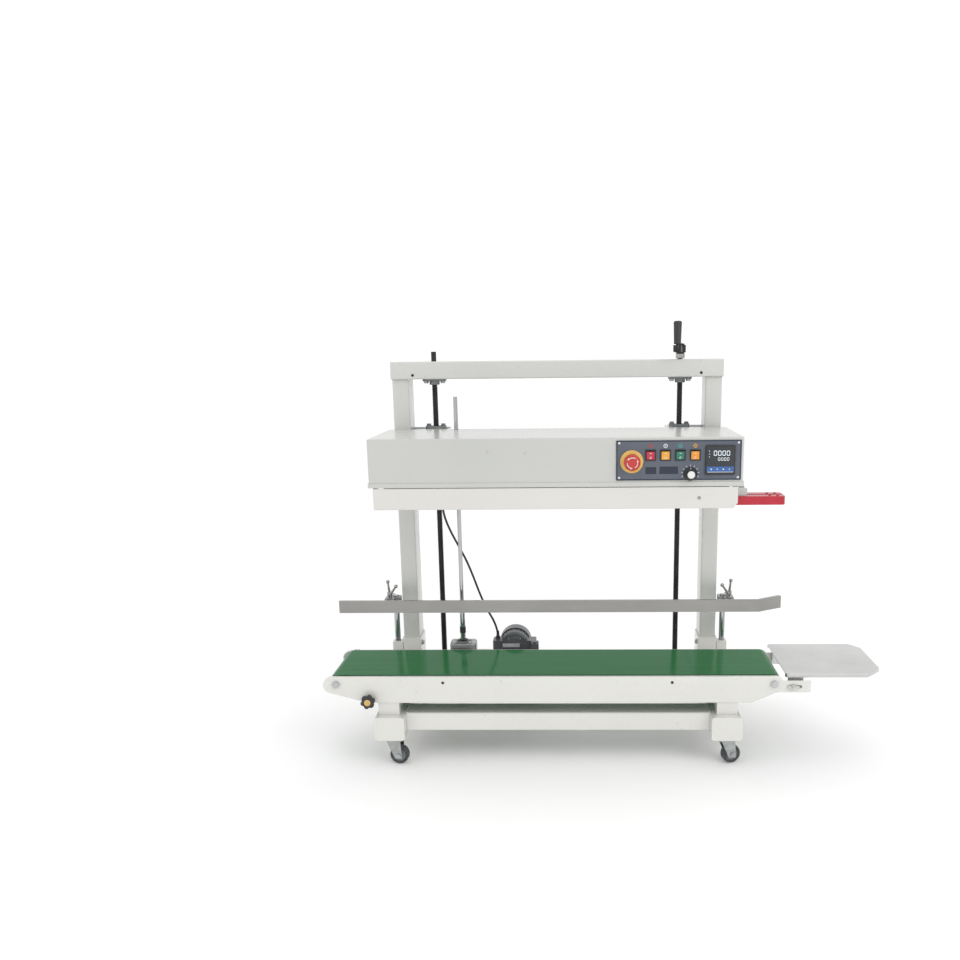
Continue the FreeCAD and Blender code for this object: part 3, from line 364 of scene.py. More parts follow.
# ---- floor ----
def makeFloor():
    half = floorSettings["half"]
    bm = bmesh.new()
    corners = [bm.verts.new((x, y, -0.0005)) for x,
               y in ((-half, -half), (half, -half), (half, half), (-half, half))]
    bm.faces.new(corners)
    mesh = bpy.data.meshes.new("studioFloor")
    bm.to_mesh(mesh)
    bm.free()
    floor = bpy.data.objects.new("studioFloor", mesh)
    scene.collection.objects.link(floor)
    material, tree, shader = nodesOf("floorPaint")
    light = floorSettings["colour"]
    colour = blendColours(tree, grain(tree, 1.5), light, tuple(v * 0.99 for v in light))
    tree.links.new(colour, shader.inputs["Base Color"])
    fixed(shader, {"Roughness": 0.8, "Specular IOR Level": 0.2})
    mesh.materials.append(material)


makeFloor()


# ---- mesh building ----
def turnTo(axis):
    return Vector(axis).normalized().to_track_quat("Z", "Y").to_matrix().to_4x4()


def addBox(bm, low, high, tag=0):
    low, high = Vector(low), Vector(high)
    fit = Matrix.Translation((low + high) / 2) @ Matrix.Diagonal((*(high - low), 1))
    made = bmesh.ops.create_cube(bm, size=1.0, matrix=fit)
    for face in {f for v in made["verts"] for f in v.link_faces}:
        face.material_index = tag
    return made["verts"]


# an (r, height) outline in mm turned about an axis
def addTurned(bm, outline, start, axis, steps=48, tag=0):
    fit = Matrix.Translation(start) @ turnTo(axis)
    rows = []
    for r, h in outline:
        if r < 1e-6:
            rows.append([bm.verts.new(fit @ Vector((0, 0, h * mm)))])
        else:
            rows.append([bm.verts.new(fit @ Vector((r * mm * math.cos(2 * math.pi * i / steps),
                                                    r * mm * math.sin(2 * math.pi * i / steps), h * mm)))
                         for i in range(steps)])
    made = []
    for first, second in zip(rows, rows[1:]):
        for i in range(steps):
            j = (i + 1) % steps
            if len(first) == 1 and len(second) == 1:
                continue
            if len(first) == 1:
                made.append(bm.faces.new((first[0], second[j], second[i])))
            elif len(second) == 1:
                made.append(bm.faces.new((first[i], first[j], second[0])))
            else:
                made.append(bm.faces.new((first[i], first[j], second[j], second[i])))
    for face in made:
        face.material_index = tag
    return made


def addSweep(bm, points, radius, steps=8, tag=0, closed=False):    # a round bead along points
    rings = []
    for i, p in enumerate(points):
        a = points[i - 1] if (i or closed) else p
        b = points[(i + 1) % len(points)] if (i < len(points) - 1 or closed) else p
        fit = Matrix.Translation(p) @ turnTo(b - a)
        rings.append([bm.verts.new(fit @ Vector((radius * math.cos(2 * math.pi * k / steps),
                                                 radius * math.sin(2 * math.pi * k / steps), 0)))
                      for k in range(steps)])
    pairs = list(zip(rings, rings[1:])) + ([(rings[-1], rings[0])] if closed else [])
    for first, second in pairs:
        for k in range(steps):
            face = bm.faces.new((first[k], first[(k + 1) % steps], second[(k + 1) % steps], second[k]))
            face.material_index = tag
    if not closed:
        bm.faces.new(list(reversed(rings[0]))).material_index = tag
        bm.faces.new(rings[-1]).material_index = tag


def toPiece(name, bm, finishNames, edge=0.0, angle=32.0, segments=2):
    bmesh.ops.recalc_face_normals(bm, faces=bm.faces)
    mesh = bpy.data.meshes.new(name)
    bm.to_mesh(mesh)
    bm.free()
    piece = bpy.data.objects.new(name, mesh)
    scene.collection.objects.link(piece)
    for finishName in finishNames:
        mesh.materials.append(finishes[finishName])
    mesh.shade_smooth()
    mesh.set_sharp_from_angle(angle=math.radians(angle))
    if edge:
        bevel = piece.modifiers.new("softEdge", "BEVEL")
        bevel.width, bevel.segments, bevel.harden_normals = edge * mm, segments, True
        bevel.limit_method, bevel.angle_limit = "ANGLE", math.radians(angle)
        settled(piece)
    return piece


def settled(piece):    # the evaluated result becomes the piece's own plain mesh
    bpy.context.view_layer.update()
    result = bpy.data.meshes.new_from_object(piece.evaluated_get(bpy.context.evaluated_depsgraph_get()))
    piece.modifiers.clear()
    old, piece.data = piece.data, result
    bpy.data.meshes.remove(old)
    result.name = piece.name
    return piece


def give(piece, body, nodes=()):
    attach(piece, body)
    if nodes:
        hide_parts(*nodes)
    return piece


def carriedBmesh(node):
    bm = bmesh.new()
    bm.from_mesh(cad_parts[node].data)
    bmesh.ops.remove_doubles(bm, verts=bm.verts, dist=2e-6)
    bmesh.ops.dissolve_limit(bm, angle_limit=math.radians(0.3), verts=bm.verts, edges=bm.edges)
    for face in bm.faces:
        face.material_index = 0
    return bm


def carried(node, name, body, finishNames, edge=0.6, pick=None):
    bm = carriedBmesh(node)
    if pick:
        for face in bm.faces:
            face.material_index = pick(face.calc_center_median(), face.normal)
    return give(toPiece(name, bm, finishNames, edge), body, (node,))


# ---- motor cable ----
cableSettings = {"radius": 3.0, "length": 0.452,
                 "route": [(-318, 18, 683), (-318, 18, 646), (-304, 28, 594), (-279, 42, 538),
                           (-252, 49, 480),
                           (-215, 57, 365), (-177, 66, 294), (-177, 66, 262)],
                 "bendFrom": (-177, 66, 288), "bendTo": (-318, 18, 668)}


def makeCable():
    s = cableSettings
    curve = bpy.data.curves.new("cableLine", "CURVE")
    curve.dimensions = "3D"
    spline = curve.splines.new("NURBS")
    spline.points.add(len(s["route"]) - 1)
    for point, (x, y, z) in zip(spline.points, s["route"]):
        point.co = (*at(midX + x, y, z), 1)
    spline.order_u = 3
    spline.use_endpoint_u = True
    curve.resolution_u = 12
    line = bpy.data.objects.new("cableLine", curve)
    scene.collection.objects.link(line)
    bpy.context.view_layer.update()
    plain = bpy.data.meshes.new_from_object(line.evaluated_get(bpy.context.evaluated_depsgraph_get()))
    points = [v.co.copy() for v in plain.vertices]
    bpy.data.meshes.remove(plain)
    bpy.data.objects.remove(line)
    bm = bmesh.new()
    addSweep(bm, points, s["radius"] * mm, 16)
    cable = toPiece("motorLead", bm, ["cableSheath"])
    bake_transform(cable)
    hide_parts("motor_cable")


def makeCableBoots():    # hexagon gland nut and tapered rubber boot at each end
    for name, body, end, aim in (("headGlandBoot", "head", cableSettings["route"][0], -zAxis),
                                 ("motorGlandBoot", "frame", cableSettings["route"][-1], zAxis)):
        place = at(midX + end[0], *end[1:])
        bm = bmesh.new()
        addTurned(bm, [(3.05, -0.5), (7.2, -0.5), (7.2, 2.2), (6.2, 3.4), (3.05, 3.4)], place, aim, 6)
        addTurned(bm, [(3.05, 0), (4.9, 0), (4.7, 5), (3.9, 15), (3.5, 20), (3.05, 20)], place, aim, 24, 1)
        give(toPiece(name, bm, ["blackPlastic", "cableSheath"], 0.3), body)


makeCable()
makeCableBoots()
print("motor cable made")


# ---- carried shapes, each with its finish ----
carriedPieces = [
    {"node": "base_frame", "name": "weldedBase", "body": "frame", "finish": "powderPaint",
     "slot": "white_paint", "edge": 0.8},
    {"node": "columns", "name": "columnTubes", "body": "frame", "finish": "columnPaint",
     "slot": "white_paint", "edge": 0.6},
    {"node": "top_beam", "name": "topBeamTube", "body": "frame", "finish": "columnPaint",
     "slot": "white_paint", "edge": 0.8},
    {"node": "screw_bearings", "name": "flangedBearings", "body": "frame", "finish": "castIron",
     "slot": "cast_bearing", "edge": 0.8},
    {"node": "bevel_gearbox", "name": "bevelGearcase", "body": "frame", "finish": "castAluminium",
     "slot": "gearbox_metal", "edge": 1.0},
    {"node": "gear_motor", "name": "motorHousing", "body": "frame", "finish": "motorPaint",
     "slot": "motor_grey", "edge": 0.9},
    {"node": "motor_cowl", "name": "motorFanCowl", "body": "frame", "finish": "motorPaint",
     "slot": "motor_grey", "edge": 0.5},
    {"node": "side_panels", "name": "conveyorCheeks", "body": "frame", "finish": "powderPaint",
     "slot": "white_paint", "edge": 0.5},
    {"node": "conveyor_bed", "name": "slideBed", "body": "frame", "finish": "galvanised",
     "slot": "sheet_steel", "edge": 0.4},
    {"node": "conveyor_belt", "name": "carryBelt", "body": "frame", "finish": "beltGreen",
     "slot": "green_belt", "edge": 0.4},
    {"node": "rail_posts", "name": "railPosts", "body": "frame", "finish": "chrome", "slot": "chrome",
     "edge": 0.4},
    {"node": "drive_rod", "name": "driveShaft", "body": "drive_shaft", "finish": "chrome", "slot": "chrome",
     "edge": 0.4,
     "second": "blackPlastic"},
    {"node": "drive_roller", "name": "drivenRoller", "body": "belt_drive", "finish": "rollerSteel",
     "slot": "roller_steel", "edge": 0.5},
    {"node": "idle_roller", "name": "tailRoller", "body": "belt_idle", "finish": "rollerSteel",
     "slot": "roller_steel", "edge": 0.5},
    {"node": "crank_arm", "name": "crankArm", "body": "right_screw", "finish": "blackOxide",
     "slot": "black_crank", "edge": 1.2},
    {"node": "infeed_plate", "name": "infeedTray", "body": "infeed", "finish": "brushedPlate",
     "slot": "brushed_plate", "edge": 0.4},
    {"node": "rail_clamps", "name": "crossClamps", "body": "rail_carrier", "finish": "castAluminium",
     "slot": "cast_clamp", "edge": 0.8},
    {"node": "guide_rail", "name": "bagRail", "body": "rail", "finish": "brushedRail",
     "slot": "brushed_rail", "edge": 0.4},
    {"node": "left_post_lever", "name": "leftPostLever", "body": "left_post_lock", "finish": "leverSteel",
     "slot": "lever_steel", "edge": 0.5},
    {"node": "right_post_lever", "name": "rightPostLever", "body": "right_post_lock",
     "finish": "leverSteel", "slot": "lever_steel", "edge": 0.5},
    {"node": "left_arm_lever", "name": "leftArmLever", "body": "left_arm_lock", "finish": "leverSteel",
     "slot": "lever_steel", "edge": 0.5},
    {"node": "right_arm_lever", "name": "rightArmLever", "body": "right_arm_lock", "finish": "leverSteel",
     "slot": "lever_steel", "edge": 0.5},
    {"node": "head_tray", "name": "headTray", "body": "head", "finish": "headPaint", "slot": "white_paint",
     "edge": 0.5},
    {"node": "head_cover", "name": "headCover", "body": "head", "finish": "headPaint",
     "slot": "white_paint", "edge": 0.8},
    {"node": "front_guard", "name": "frontGuard", "body": "head", "finish": "guardPaint",
     "slot": "white_paint", "edge": 0.6},
    {"node": "rear_guard", "name": "rearGuard", "body": "head", "finish": "guardPaint",
     "slot": "white_paint", "edge": 0.6},
    {"node": "nut_brackets", "name": "nutCarriages", "body": "head", "finish": "columnPaint",
     "slot": "white_paint", "edge": 0.6,
     "second": "castIron"},
    {"node": "sealing_blocks", "name": "sealingBlocks", "body": "head", "finish": "brass",
     "slot": "block_brass", "edge": 0.6},
    {"node": "sealing_bands", "name": "sealingBands", "body": "head", "finish": "bandTeflon",
     "slot": "band_brown", "edge": 0.2},
    {"node": "infeed_guides", "name": "redInfeedBars", "body": "head", "finish": "redEnamel",
     "slot": "red_paint", "edge": 1.0},
    {"node": "drive_sleeve", "name": "splineSleeve", "body": "sleeve", "finish": "zincPlate",
     "slot": "sleeve_steel", "edge": 0.5},
    {"node": "front_drive_wheel", "name": "frontDriveWheel", "body": "front_drive_band_wheel",
     "finish": "wheelAlloy", "slot": "wheel_alloy", "edge": 0.6},
    {"node": "front_idle_wheel", "name": "frontIdleWheel", "body": "front_idle_band_wheel",
     "finish": "wheelAlloy", "slot": "wheel_alloy", "edge": 0.6},
    {"node": "rear_drive_wheel", "name": "rearDriveWheel", "body": "rear_drive_band_wheel",
     "finish": "wheelAlloy", "slot": "wheel_alloy", "edge": 0.6},
    {"node": "rear_idle_wheel", "name": "rearIdleWheel", "body": "rear_idle_band_wheel",
     "finish": "wheelAlloy", "slot": "wheel_alloy", "edge": 0.6},
]
for end in ("front", "rear"):
    for side in ("left", "right"):
        carriedPieces.append({"node": f"{end}_{side}_caster_fork", "name": f"{end}{side.title()}Fork",
                              "body": f"{end}_{side}_fork",
                              "finish": "zincPlate", "slot": "zinc_fork", "edge": 0.6})


# in millimetres: the splined shaft's collar, then the bolts and lead nuts on the carriages
secondFinishSettings = {"collarZ": (289, 310), "collarX": -273, "collarY": 25, "shaftRadius": 7.2,
                        "boltZ": 864.3, "nutY": 70, "nutX": 337, "nutHalf": (15.2, 14.8)}


def secondFinish(node):    # which faces of a carried shape take its second finish
    s = secondFinishSettings
    low, high = s["collarZ"]
    axis = at(midX + s["collarX"], s["collarY"], 0)
    halfX, halfY = s["nutHalf"]

    def onCollar(c, n):
        return int(low * mm < c.z < high * mm and abs((c - axis).xy.length) > s["shaftRadius"] * mm)

    def onNut(c, n):
        besideScrew = abs(abs(c.x - midX * mm) - s["nutX"] * mm) < halfX * mm
        besideColumn = c.y > s["nutY"] * mm and abs(c.y - frameY * mm) < halfY * mm
        return int(c.z > s["boltZ"] * mm or (besideScrew and besideColumn))

    return onCollar if node == "drive_rod" else onNut


for s in carriedPieces:
    names = [s["finish"]] + ([s["second"]] if "second" in s else [])
    carried(s["node"], s["name"], s["body"], names, s["edge"],
            secondFinish(s["node"]) if "second" in s else None)
print("carried shapes finished:", len(carriedPieces))


# ---- repeating parts, grown by node trees ----
def newTree(name, sockets):
    tree = bpy.data.node_groups.new(name, "GeometryNodeTree")
    tree.interface.new_socket("Points", in_out="INPUT", socket_type="NodeSocketGeometry")
    for label, kind, value in sockets:
        socket = tree.interface.new_socket(label, in_out="INPUT", socket_type="NodeSocket" + kind)
        if value is not None:
            socket.default_value = value
    tree.interface.new_socket("Result", in_out="OUTPUT", socket_type="NodeSocketGeometry")
    return tree, tree.nodes.new("NodeGroupInput"), tree.nodes.new("NodeGroupOutput")


def join(tree, source, output, target, entry):
    tree.links.new(source.outputs[output], target.inputs[entry])


def endTree(tree, start, end, source, output):    # realised, with its finish set
    real = tree.nodes.new("GeometryNodeRealizeInstances")
    paint = tree.nodes.new("GeometryNodeSetMaterial")
    join(tree, source, output, real, "Geometry")
    join(tree, real, "Geometry", paint, "Geometry")
    join(tree, start, "Finish", paint, "Material")
    join(tree, paint, "Geometry", end, "Result")


def makePlantTree():    # one part on every point, its Z along the point's own aim
    tree, start, end = newTree("plantParts", [("Part", "Object", None), ("Size", "Float", 1.0),
                                              ("Finish", "Material", None)])
    info = tree.nodes.new("GeometryNodeObjectInfo")
    aim = tree.nodes.new("GeometryNodeInputNamedAttribute")
    aim.data_type = "FLOAT_VECTOR"
    aim.inputs["Name"].default_value = "aim"
    face = tree.nodes.new("FunctionNodeAlignRotationToVector")
    face.axis = "Z"
    plant = tree.nodes.new("GeometryNodeInstanceOnPoints")
    join(tree, start, "Part", info, "Object")
    join(tree, aim, "Attribute", face, "Vector")
    join(tree, start, "Points", plant, "Points")
    join(tree, info, "Geometry", plant, "Instance")
    join(tree, face, "Rotation", plant, "Rotation")
    join(tree, start, "Size", plant, "Scale")
    endTree(tree, start, end, plant, "Instances")
    return tree


def makeChainTree():    # links at a fixed pitch round a closed line, pins along one axis
    tree, start, end = newTree("chainLinks", [("Part", "Object", None), ("Pitch", "Float", 0.008),
                                              ("Pin Axis", "Vector", (0, 0, 1)),
                                              ("Finish", "Material", None)])
    line = tree.nodes.new("GeometryNodeMeshToCurve")
    even = tree.nodes.new("GeometryNodeResampleCurve")
    even.mode = "LENGTH"
    along = tree.nodes.new("GeometryNodeInputTangent")
    first = tree.nodes.new("FunctionNodeAlignRotationToVector")
    first.axis = "X"
    second = tree.nodes.new("FunctionNodeAlignRotationToVector")
    second.axis, second.pivot_axis = "Z", "X"
    info = tree.nodes.new("GeometryNodeObjectInfo")
    plant = tree.nodes.new("GeometryNodeInstanceOnPoints")
    join(tree, start, "Points", line, "Mesh")
    join(tree, line, "Curve", even, "Curve")
    join(tree, start, "Pitch", even, "Length")
    join(tree, along, "Tangent", first, "Vector")
    join(tree, first, "Rotation", second, "Rotation")
    join(tree, start, "Pin Axis", second, "Vector")
    join(tree, start, "Part", info, "Object")
    join(tree, even, "Curve", plant, "Points")
    join(tree, info, "Geometry", plant, "Instance")
    join(tree, second, "Rotation", plant, "Rotation")
    endTree(tree, start, end, plant, "Instances")
    return tree


def makeThreadTree():    # a round ridge wound up a shaft
    tree, start, end = newTree("screwThread", [("Length", "Float", 0.9), ("Turns", "Float", 225.0),
                                               ("Radius", "Float", 0.007),
                                               ("Ridge", "Float", 0.001), ("Base", "Vector", (0, 0, 0)),
                                               ("Finish", "Material", None)])
    spiral = tree.nodes.new("GeometryNodeCurveSpiral")
    spiral.inputs["Resolution"].default_value = 18
    ridge = tree.nodes.new("GeometryNodeCurvePrimitiveCircle")
    ridge.inputs["Resolution"].default_value = 6
    sweep = tree.nodes.new("GeometryNodeCurveToMesh")
    sweep.inputs["Fill Caps"].default_value = True
    place = tree.nodes.new("GeometryNodeTransform")
    join(tree, start, "Length", spiral, "Height")
    join(tree, start, "Turns", spiral, "Rotations")
    join(tree, start, "Radius", spiral, "Start Radius")
    join(tree, start, "Radius", spiral, "End Radius")
    join(tree, start, "Ridge", ridge, "Radius")
    join(tree, spiral, "Curve", sweep, "Curve")
    join(tree, ridge, "Curve", sweep, "Profile Curve")
    join(tree, sweep, "Mesh", place, "Geometry")
    join(tree, start, "Base", place, "Translation")
    endTree(tree, start, end, place, "Geometry")
    return tree


def makeRibTree():    # bars set evenly round a circle, each facing outwards
    tree, start, end = newTree("ribRing", [("Count", "Int", 12), ("Radius", "Float", 0.01),
                                           ("Bar", "Vector", (0.001, 0.001, 0.01)),
                                           ("Centre", "Vector", (0, 0, 0)), ("Turn", "Rotation", None),
                                           ("Finish", "Material", None)])
    circle = tree.nodes.new("GeometryNodeMeshCircle")
    bar = tree.nodes.new("GeometryNodeMeshCube")
    outward = tree.nodes.new("GeometryNodeInputPosition")
    face = tree.nodes.new("FunctionNodeAlignRotationToVector")
    face.axis, face.pivot_axis = "X", "Z"
    plant = tree.nodes.new("GeometryNodeInstanceOnPoints")
    place = tree.nodes.new("GeometryNodeTransform")
    join(tree, start, "Count", circle, "Vertices")
    join(tree, start, "Radius", circle, "Radius")
    join(tree, start, "Bar", bar, "Size")
    join(tree, outward, "Position", face, "Vector")
    join(tree, circle, "Mesh", plant, "Points")
    join(tree, bar, "Mesh", plant, "Instance")
    join(tree, face, "Rotation", plant, "Rotation")
    join(tree, plant, "Instances", place, "Geometry")
    join(tree, start, "Centre", place, "Translation")
    join(tree, start, "Turn", place, "Rotation")
    endTree(tree, start, end, place, "Geometry")
    return tree


plantTree, chainTree, threadTree, ribTree = makePlantTree(), makeChainTree(), makeThreadTree(), makeRibTree()


def grow(name, tree, values, mesh=None, edge=0.0, angle=32.0):    # the tree's result as a plain mesh piece
    piece = bpy.data.objects.new(name, mesh or bpy.data.meshes.new(name))
    scene.collection.objects.link(piece)
    modifier = piece.modifiers.new("grown", "NODES")
    modifier.node_group = tree
    idOf = {item.name: item.identifier for item in tree.interface.items_tree if item.in_out == "INPUT"}
    for label, value in values.items():
        modifier[idOf[label]] = value
    if edge:
        bevel = piece.modifiers.new("softEdge", "BEVEL")
        bevel.width, bevel.segments = edge * mm, 1
        bevel.limit_method, bevel.angle_limit = "ANGLE", math.radians(angle)
    settled(piece)
    if not piece.data.materials:
        piece.data.materials.append(values["Finish"])
    piece.data.shade_smooth()
    piece.data.set_sharp_from_angle(angle=math.radians(angle))
    return piece


def pointMesh(name, places):    # (place, aim) pairs as loose points
    mesh = bpy.data.meshes.new(name)
    mesh.from_pydata([tuple(p) for p, _ in places], [], [])
    aims = mesh.attributes.new("aim", "FLOAT_VECTOR", "POINT")
    aims.data.foreach_set("vector", [v for _, aim in places for v in Vector(aim)])
    return mesh


def loosePart(name, bm):
    bmesh.ops.recalc_face_normals(bm, faces=bm.faces)
    mesh = bpy.data.meshes.new(name)
    bm.to_mesh(mesh)
    bm.free()
    part = bpy.data.objects.new(name, mesh)
    scene.collection.objects.link(part)
    return part


def drop(*parts):
    for part in parts:
        mesh = part.data
        bpy.data.objects.remove(part)
        bpy.data.meshes.remove(mesh)


def hexBoltPart(head=6.5, height=5.0):
    bm = bmesh.new()
    addTurned(bm, [(0, 0), (head * 1.25, 0), (head * 1.25, 1.1), (head * 1.18, 1.4), (0, 1.4)], (0, 0, 0),
              zAxis, 24)
    addTurned(bm, [(0, 1.4), (head, 1.4), (head, height + 0.9), (head * 0.86, height + 1.4),
                   (0, height + 1.4)],
              (0, 0, 0), zAxis, 6)
    return loosePart("hexBoltPart", bm)


def panScrewPart(radius=3.4, height=1.7):    # domed head with a cross recess
    bm = bmesh.new()
    addTurned(bm, [(0, 0), (radius, 0), (radius, height * 0.4), (radius * 0.82, height * 0.82),
                   (radius * 0.45, height),
                   (radius * 0.36, height * 0.55), (0, height * 0.5)], (0, 0, 0), zAxis, 20)
    for a in range(4):
        turn = Matrix.Rotation(math.pi / 2 * a, 4, "Z")
        made = addBox(bm, at(radius * 0.28, -radius * 0.11, height * 0.5),
                      at(radius * 0.40, radius * 0.11, height * 1.01))
        bmesh.ops.transform(bm, matrix=turn, verts=made)
    return loosePart("panScrewPart", bm)


# ---- bolts ----
boltSettings = {"bearingSpread": 23, "bearingZ": 994, "socketZ": (165, 247), "socketInner": 398.5,
                "beamScrewX": 389, "beamScrewZ": 1011, "cheekScrewX": 297.5}


def makeFrameBolts():
    s = boltSettings
    places = []
    for side in sides:
        for dx in (-s["bearingSpread"], s["bearingSpread"]):
            places.append((at(midX + side * 337 + dx, frameY, s["bearingZ"]), -zAxis))
        for z in s["socketZ"]:
            places.append((at(midX + side * s["socketInner"], frameY - 20, z), -side * xAxis))
    part = hexBoltPart()
    bolts = grow("frameHexBolts", plantTree, {"Part": part, "Size": 1.0, "Finish": finishes["zincPlate"]},
                 pointMesh("boltPoints", places), 0.25)
    give(bolts, "frame", ("frame_bolts",))
    drop(part)
    small = [(at(midX + side * s["beamScrewX"], frameY - 47.5, s["beamScrewZ"]), -yAxis) for side in sides]
    small += [(at(midX + side * s["cheekScrewX"], beltY - 112, 232), -yAxis) for side in sides]
    part = panScrewPart(3.7, 1.5)
    screws = grow("frameSmallScrews", plantTree,
                  {"Part": part, "Size": 1.0, "Finish": finishes["blackOxide"]},
                  pointMesh("screwPoints", small))
    give(screws, "frame")
    drop(part)


makeFrameBolts()


# ---- chains ----
chainSettings = {
    "liftChain": {"ends": ((midX - 337, frameY, 1024.5), (midX + 337, frameY, 1024.5)), "radius": 22,
                  "axis": (0, 0, 1)},
    "beltChain": {"ends": ((midX - 577, 7.5, 228), (midX - 273, 7.5, 228)), "radius": 14, "axis": (0, 1, 0)},
    "link": {"pitch": 8.0, "plate": 4.0, "width": 4.6, "roller": 1.9},
}


def chainLinkPart():
    s = chainSettings["link"]
    bm = bmesh.new()
    half, w = s["pitch"] / 2, s["width"] / 2
    addTurned(bm, [(0, -w + 0.2), (s["roller"], -w + 0.2), (s["roller"], w - 0.2), (0, w - 0.2)], (0, 0, 0),
              zAxis, 8)
    for x, z in ((half, w - 0.35), (-half, w - 1.0)):
        for side in sides:
            low = at(min(0, 2 * x) - 1.4, -s["plate"] / 2, side * z - 0.3)
            addBox(bm, low, low + at(abs(2 * x) / 2 + half + 2.8, s["plate"], 0.6))
    return loosePart("chainLinkPart", bm)


def makeChain(name):
    s = chainSettings[name]
    a, b = at(*s["ends"][0]), at(*s["ends"][1])
    across = Vector(s["axis"]).cross(xAxis)
    r = s["radius"] * mm
    steps = 20
    points = [b + xAxis * (r * math.cos(t)) + across * (r * math.sin(t))
              for t in (math.pi * (i / steps - 0.5) for i in range(steps + 1))]
    points += [a - xAxis * (r * math.cos(t)) - across * (r * math.sin(t))
               for t in (math.pi * (i / steps - 0.5) for i in range(steps + 1))]
    mesh = bpy.data.meshes.new(name)
    mesh.from_pydata([tuple(p) for p in points], [(i, (i + 1) % len(points)) for i in range(len(points))], [])
    part = chainLinkPart()
    piece = grow(name, chainTree,
                 {"Part": part, "Pitch": chainSettings["link"]["pitch"] * mm, "Pin Axis": s["axis"],
                                   "Finish": finishes["chainSteel"]}, mesh)
    drop(part)
    return piece


give(makeChain("liftChain"), "frame", ("roller_chains",))
give(makeChain("beltChain"), "frame")
print("bolts and chains grown")


# ---- lead screws ----
leadScrewSettings = {"bottom": 143, "top": 1073, "endLength": 24, "endRadius": 7.0, "coreRadius": 6.8,
                     "pitch": 4.0,
                     "ridge": 1.05, "sprocket": (1015, 1021, 23.0)}


def makeLeadScrew(side, name, body, node):
    s = leadScrewSettings
    x = midX + side * 337
    shoulder = s["top"] - s["endLength"]
    z0, z1, tooth = s["sprocket"]
    bm = bmesh.new()
    core = s["coreRadius"]
    outline = [(0, s["bottom"]), (core - 1, s["bottom"]), (core, s["bottom"] + 1), (core, z0 - 6),
               (13, z0 - 6), (13, z0),
               (tooth - 2.5, z0), (tooth, z0 + 1), (tooth, z1 - 1), (tooth - 2.5, z1), (13, z1),
               (13, z1 + 6), (core, z1 + 6),
               (core, shoulder), (s["endRadius"], shoulder), (s["endRadius"], s["top"] - 1.2),
               (s["endRadius"] - 1.2, s["top"]), (0, s["top"])]
    addTurned(bm, outline, at(x, frameY, 0), zAxis, 24)
    give(toPiece(name + "Core", bm, ["blackOxide"], 0.0, 25), body, (node,))
    length = shoulder - s["bottom"] - 4
    thread = grow(name + "Thread", threadTree, {"Length": length * mm, "Turns": length / s["pitch"],
                                                "Radius": (8.0 - s["ridge"]) * mm, "Ridge": s["ridge"] * mm,
                                                "Base": at(x, frameY, s["bottom"] + 2),
                                                "Finish": finishes["blackOxide"]},
                  angle=75)
    give(thread, body)


makeLeadScrew(-1, "leftLeadScrew", "left_screw", "left_lead_screw")
makeLeadScrew(1, "rightLeadScrew", "right_screw", "right_lead_screw")
print("lead screws threaded")


# ---- crank grip ----
gripSettings = {"reach": 80, "turn": -102.0, "bottom": 1086, "length": 60, "pin": 4.05}


def makeGrip():
    s = gripSettings
    a = math.radians(s["turn"])
    start = at(midX + 337 + s["reach"] * math.cos(a), frameY + s["reach"] * math.sin(a), s["bottom"])
    bm = bmesh.new()
    outline = [(s["pin"], 0), (8.6, 0), (9.4, 0.8), (9.5, 3)]
    for i in range(1, 14):    # shallow finger rings that swell towards the top
        h = 3 + i * 3.7
        swell = 9.6 + 1.7 * (h / s["length"])
        outline += [(swell, h - 1.6), (swell - 0.5, h - 0.5)]
    outline += [(11.3, 53.5), (11.0, 56), (9.6, 58.6), (7.0, 59.8), (4.5, 60), (0, 60)]
    outline += [(0, 55), (s["pin"], 55), (s["pin"], 0)]
    addTurned(bm, outline, start, zAxis, 40)
    bmesh.ops.remove_doubles(bm, verts=bm.verts, dist=1e-6)
    give(toPiece("crankGripSleeve", bm, ["gripRubber"], 0.0, 50), "grip", ("crank_grip",))
    bm = bmesh.new()
    hub = at(midX + 337, frameY, 1088)
    addTurned(bm, [(0, 0), (5.5, 0), (5.5, 0.8), (4.6, 1.6), (0, 1.8)], hub, zAxis, 24)
    addTurned(bm, [(11.05, -38.6), (12.6, -38.6), (12.6, -27.5), (12.0, -26.9), (11.05, -26.9)], hub, zAxis,
              40)
    give(toPiece("crankCollar", bm, ["leverSteel"], 0.3), "right_screw")


makeGrip()


# ---- star knob ----
knobSettings = {"x": -492, "z": 186, "lobes": 6, "reach": 19.3, "waist": 15.2, "depth": 16, "face": -24,
                "phase": 15}


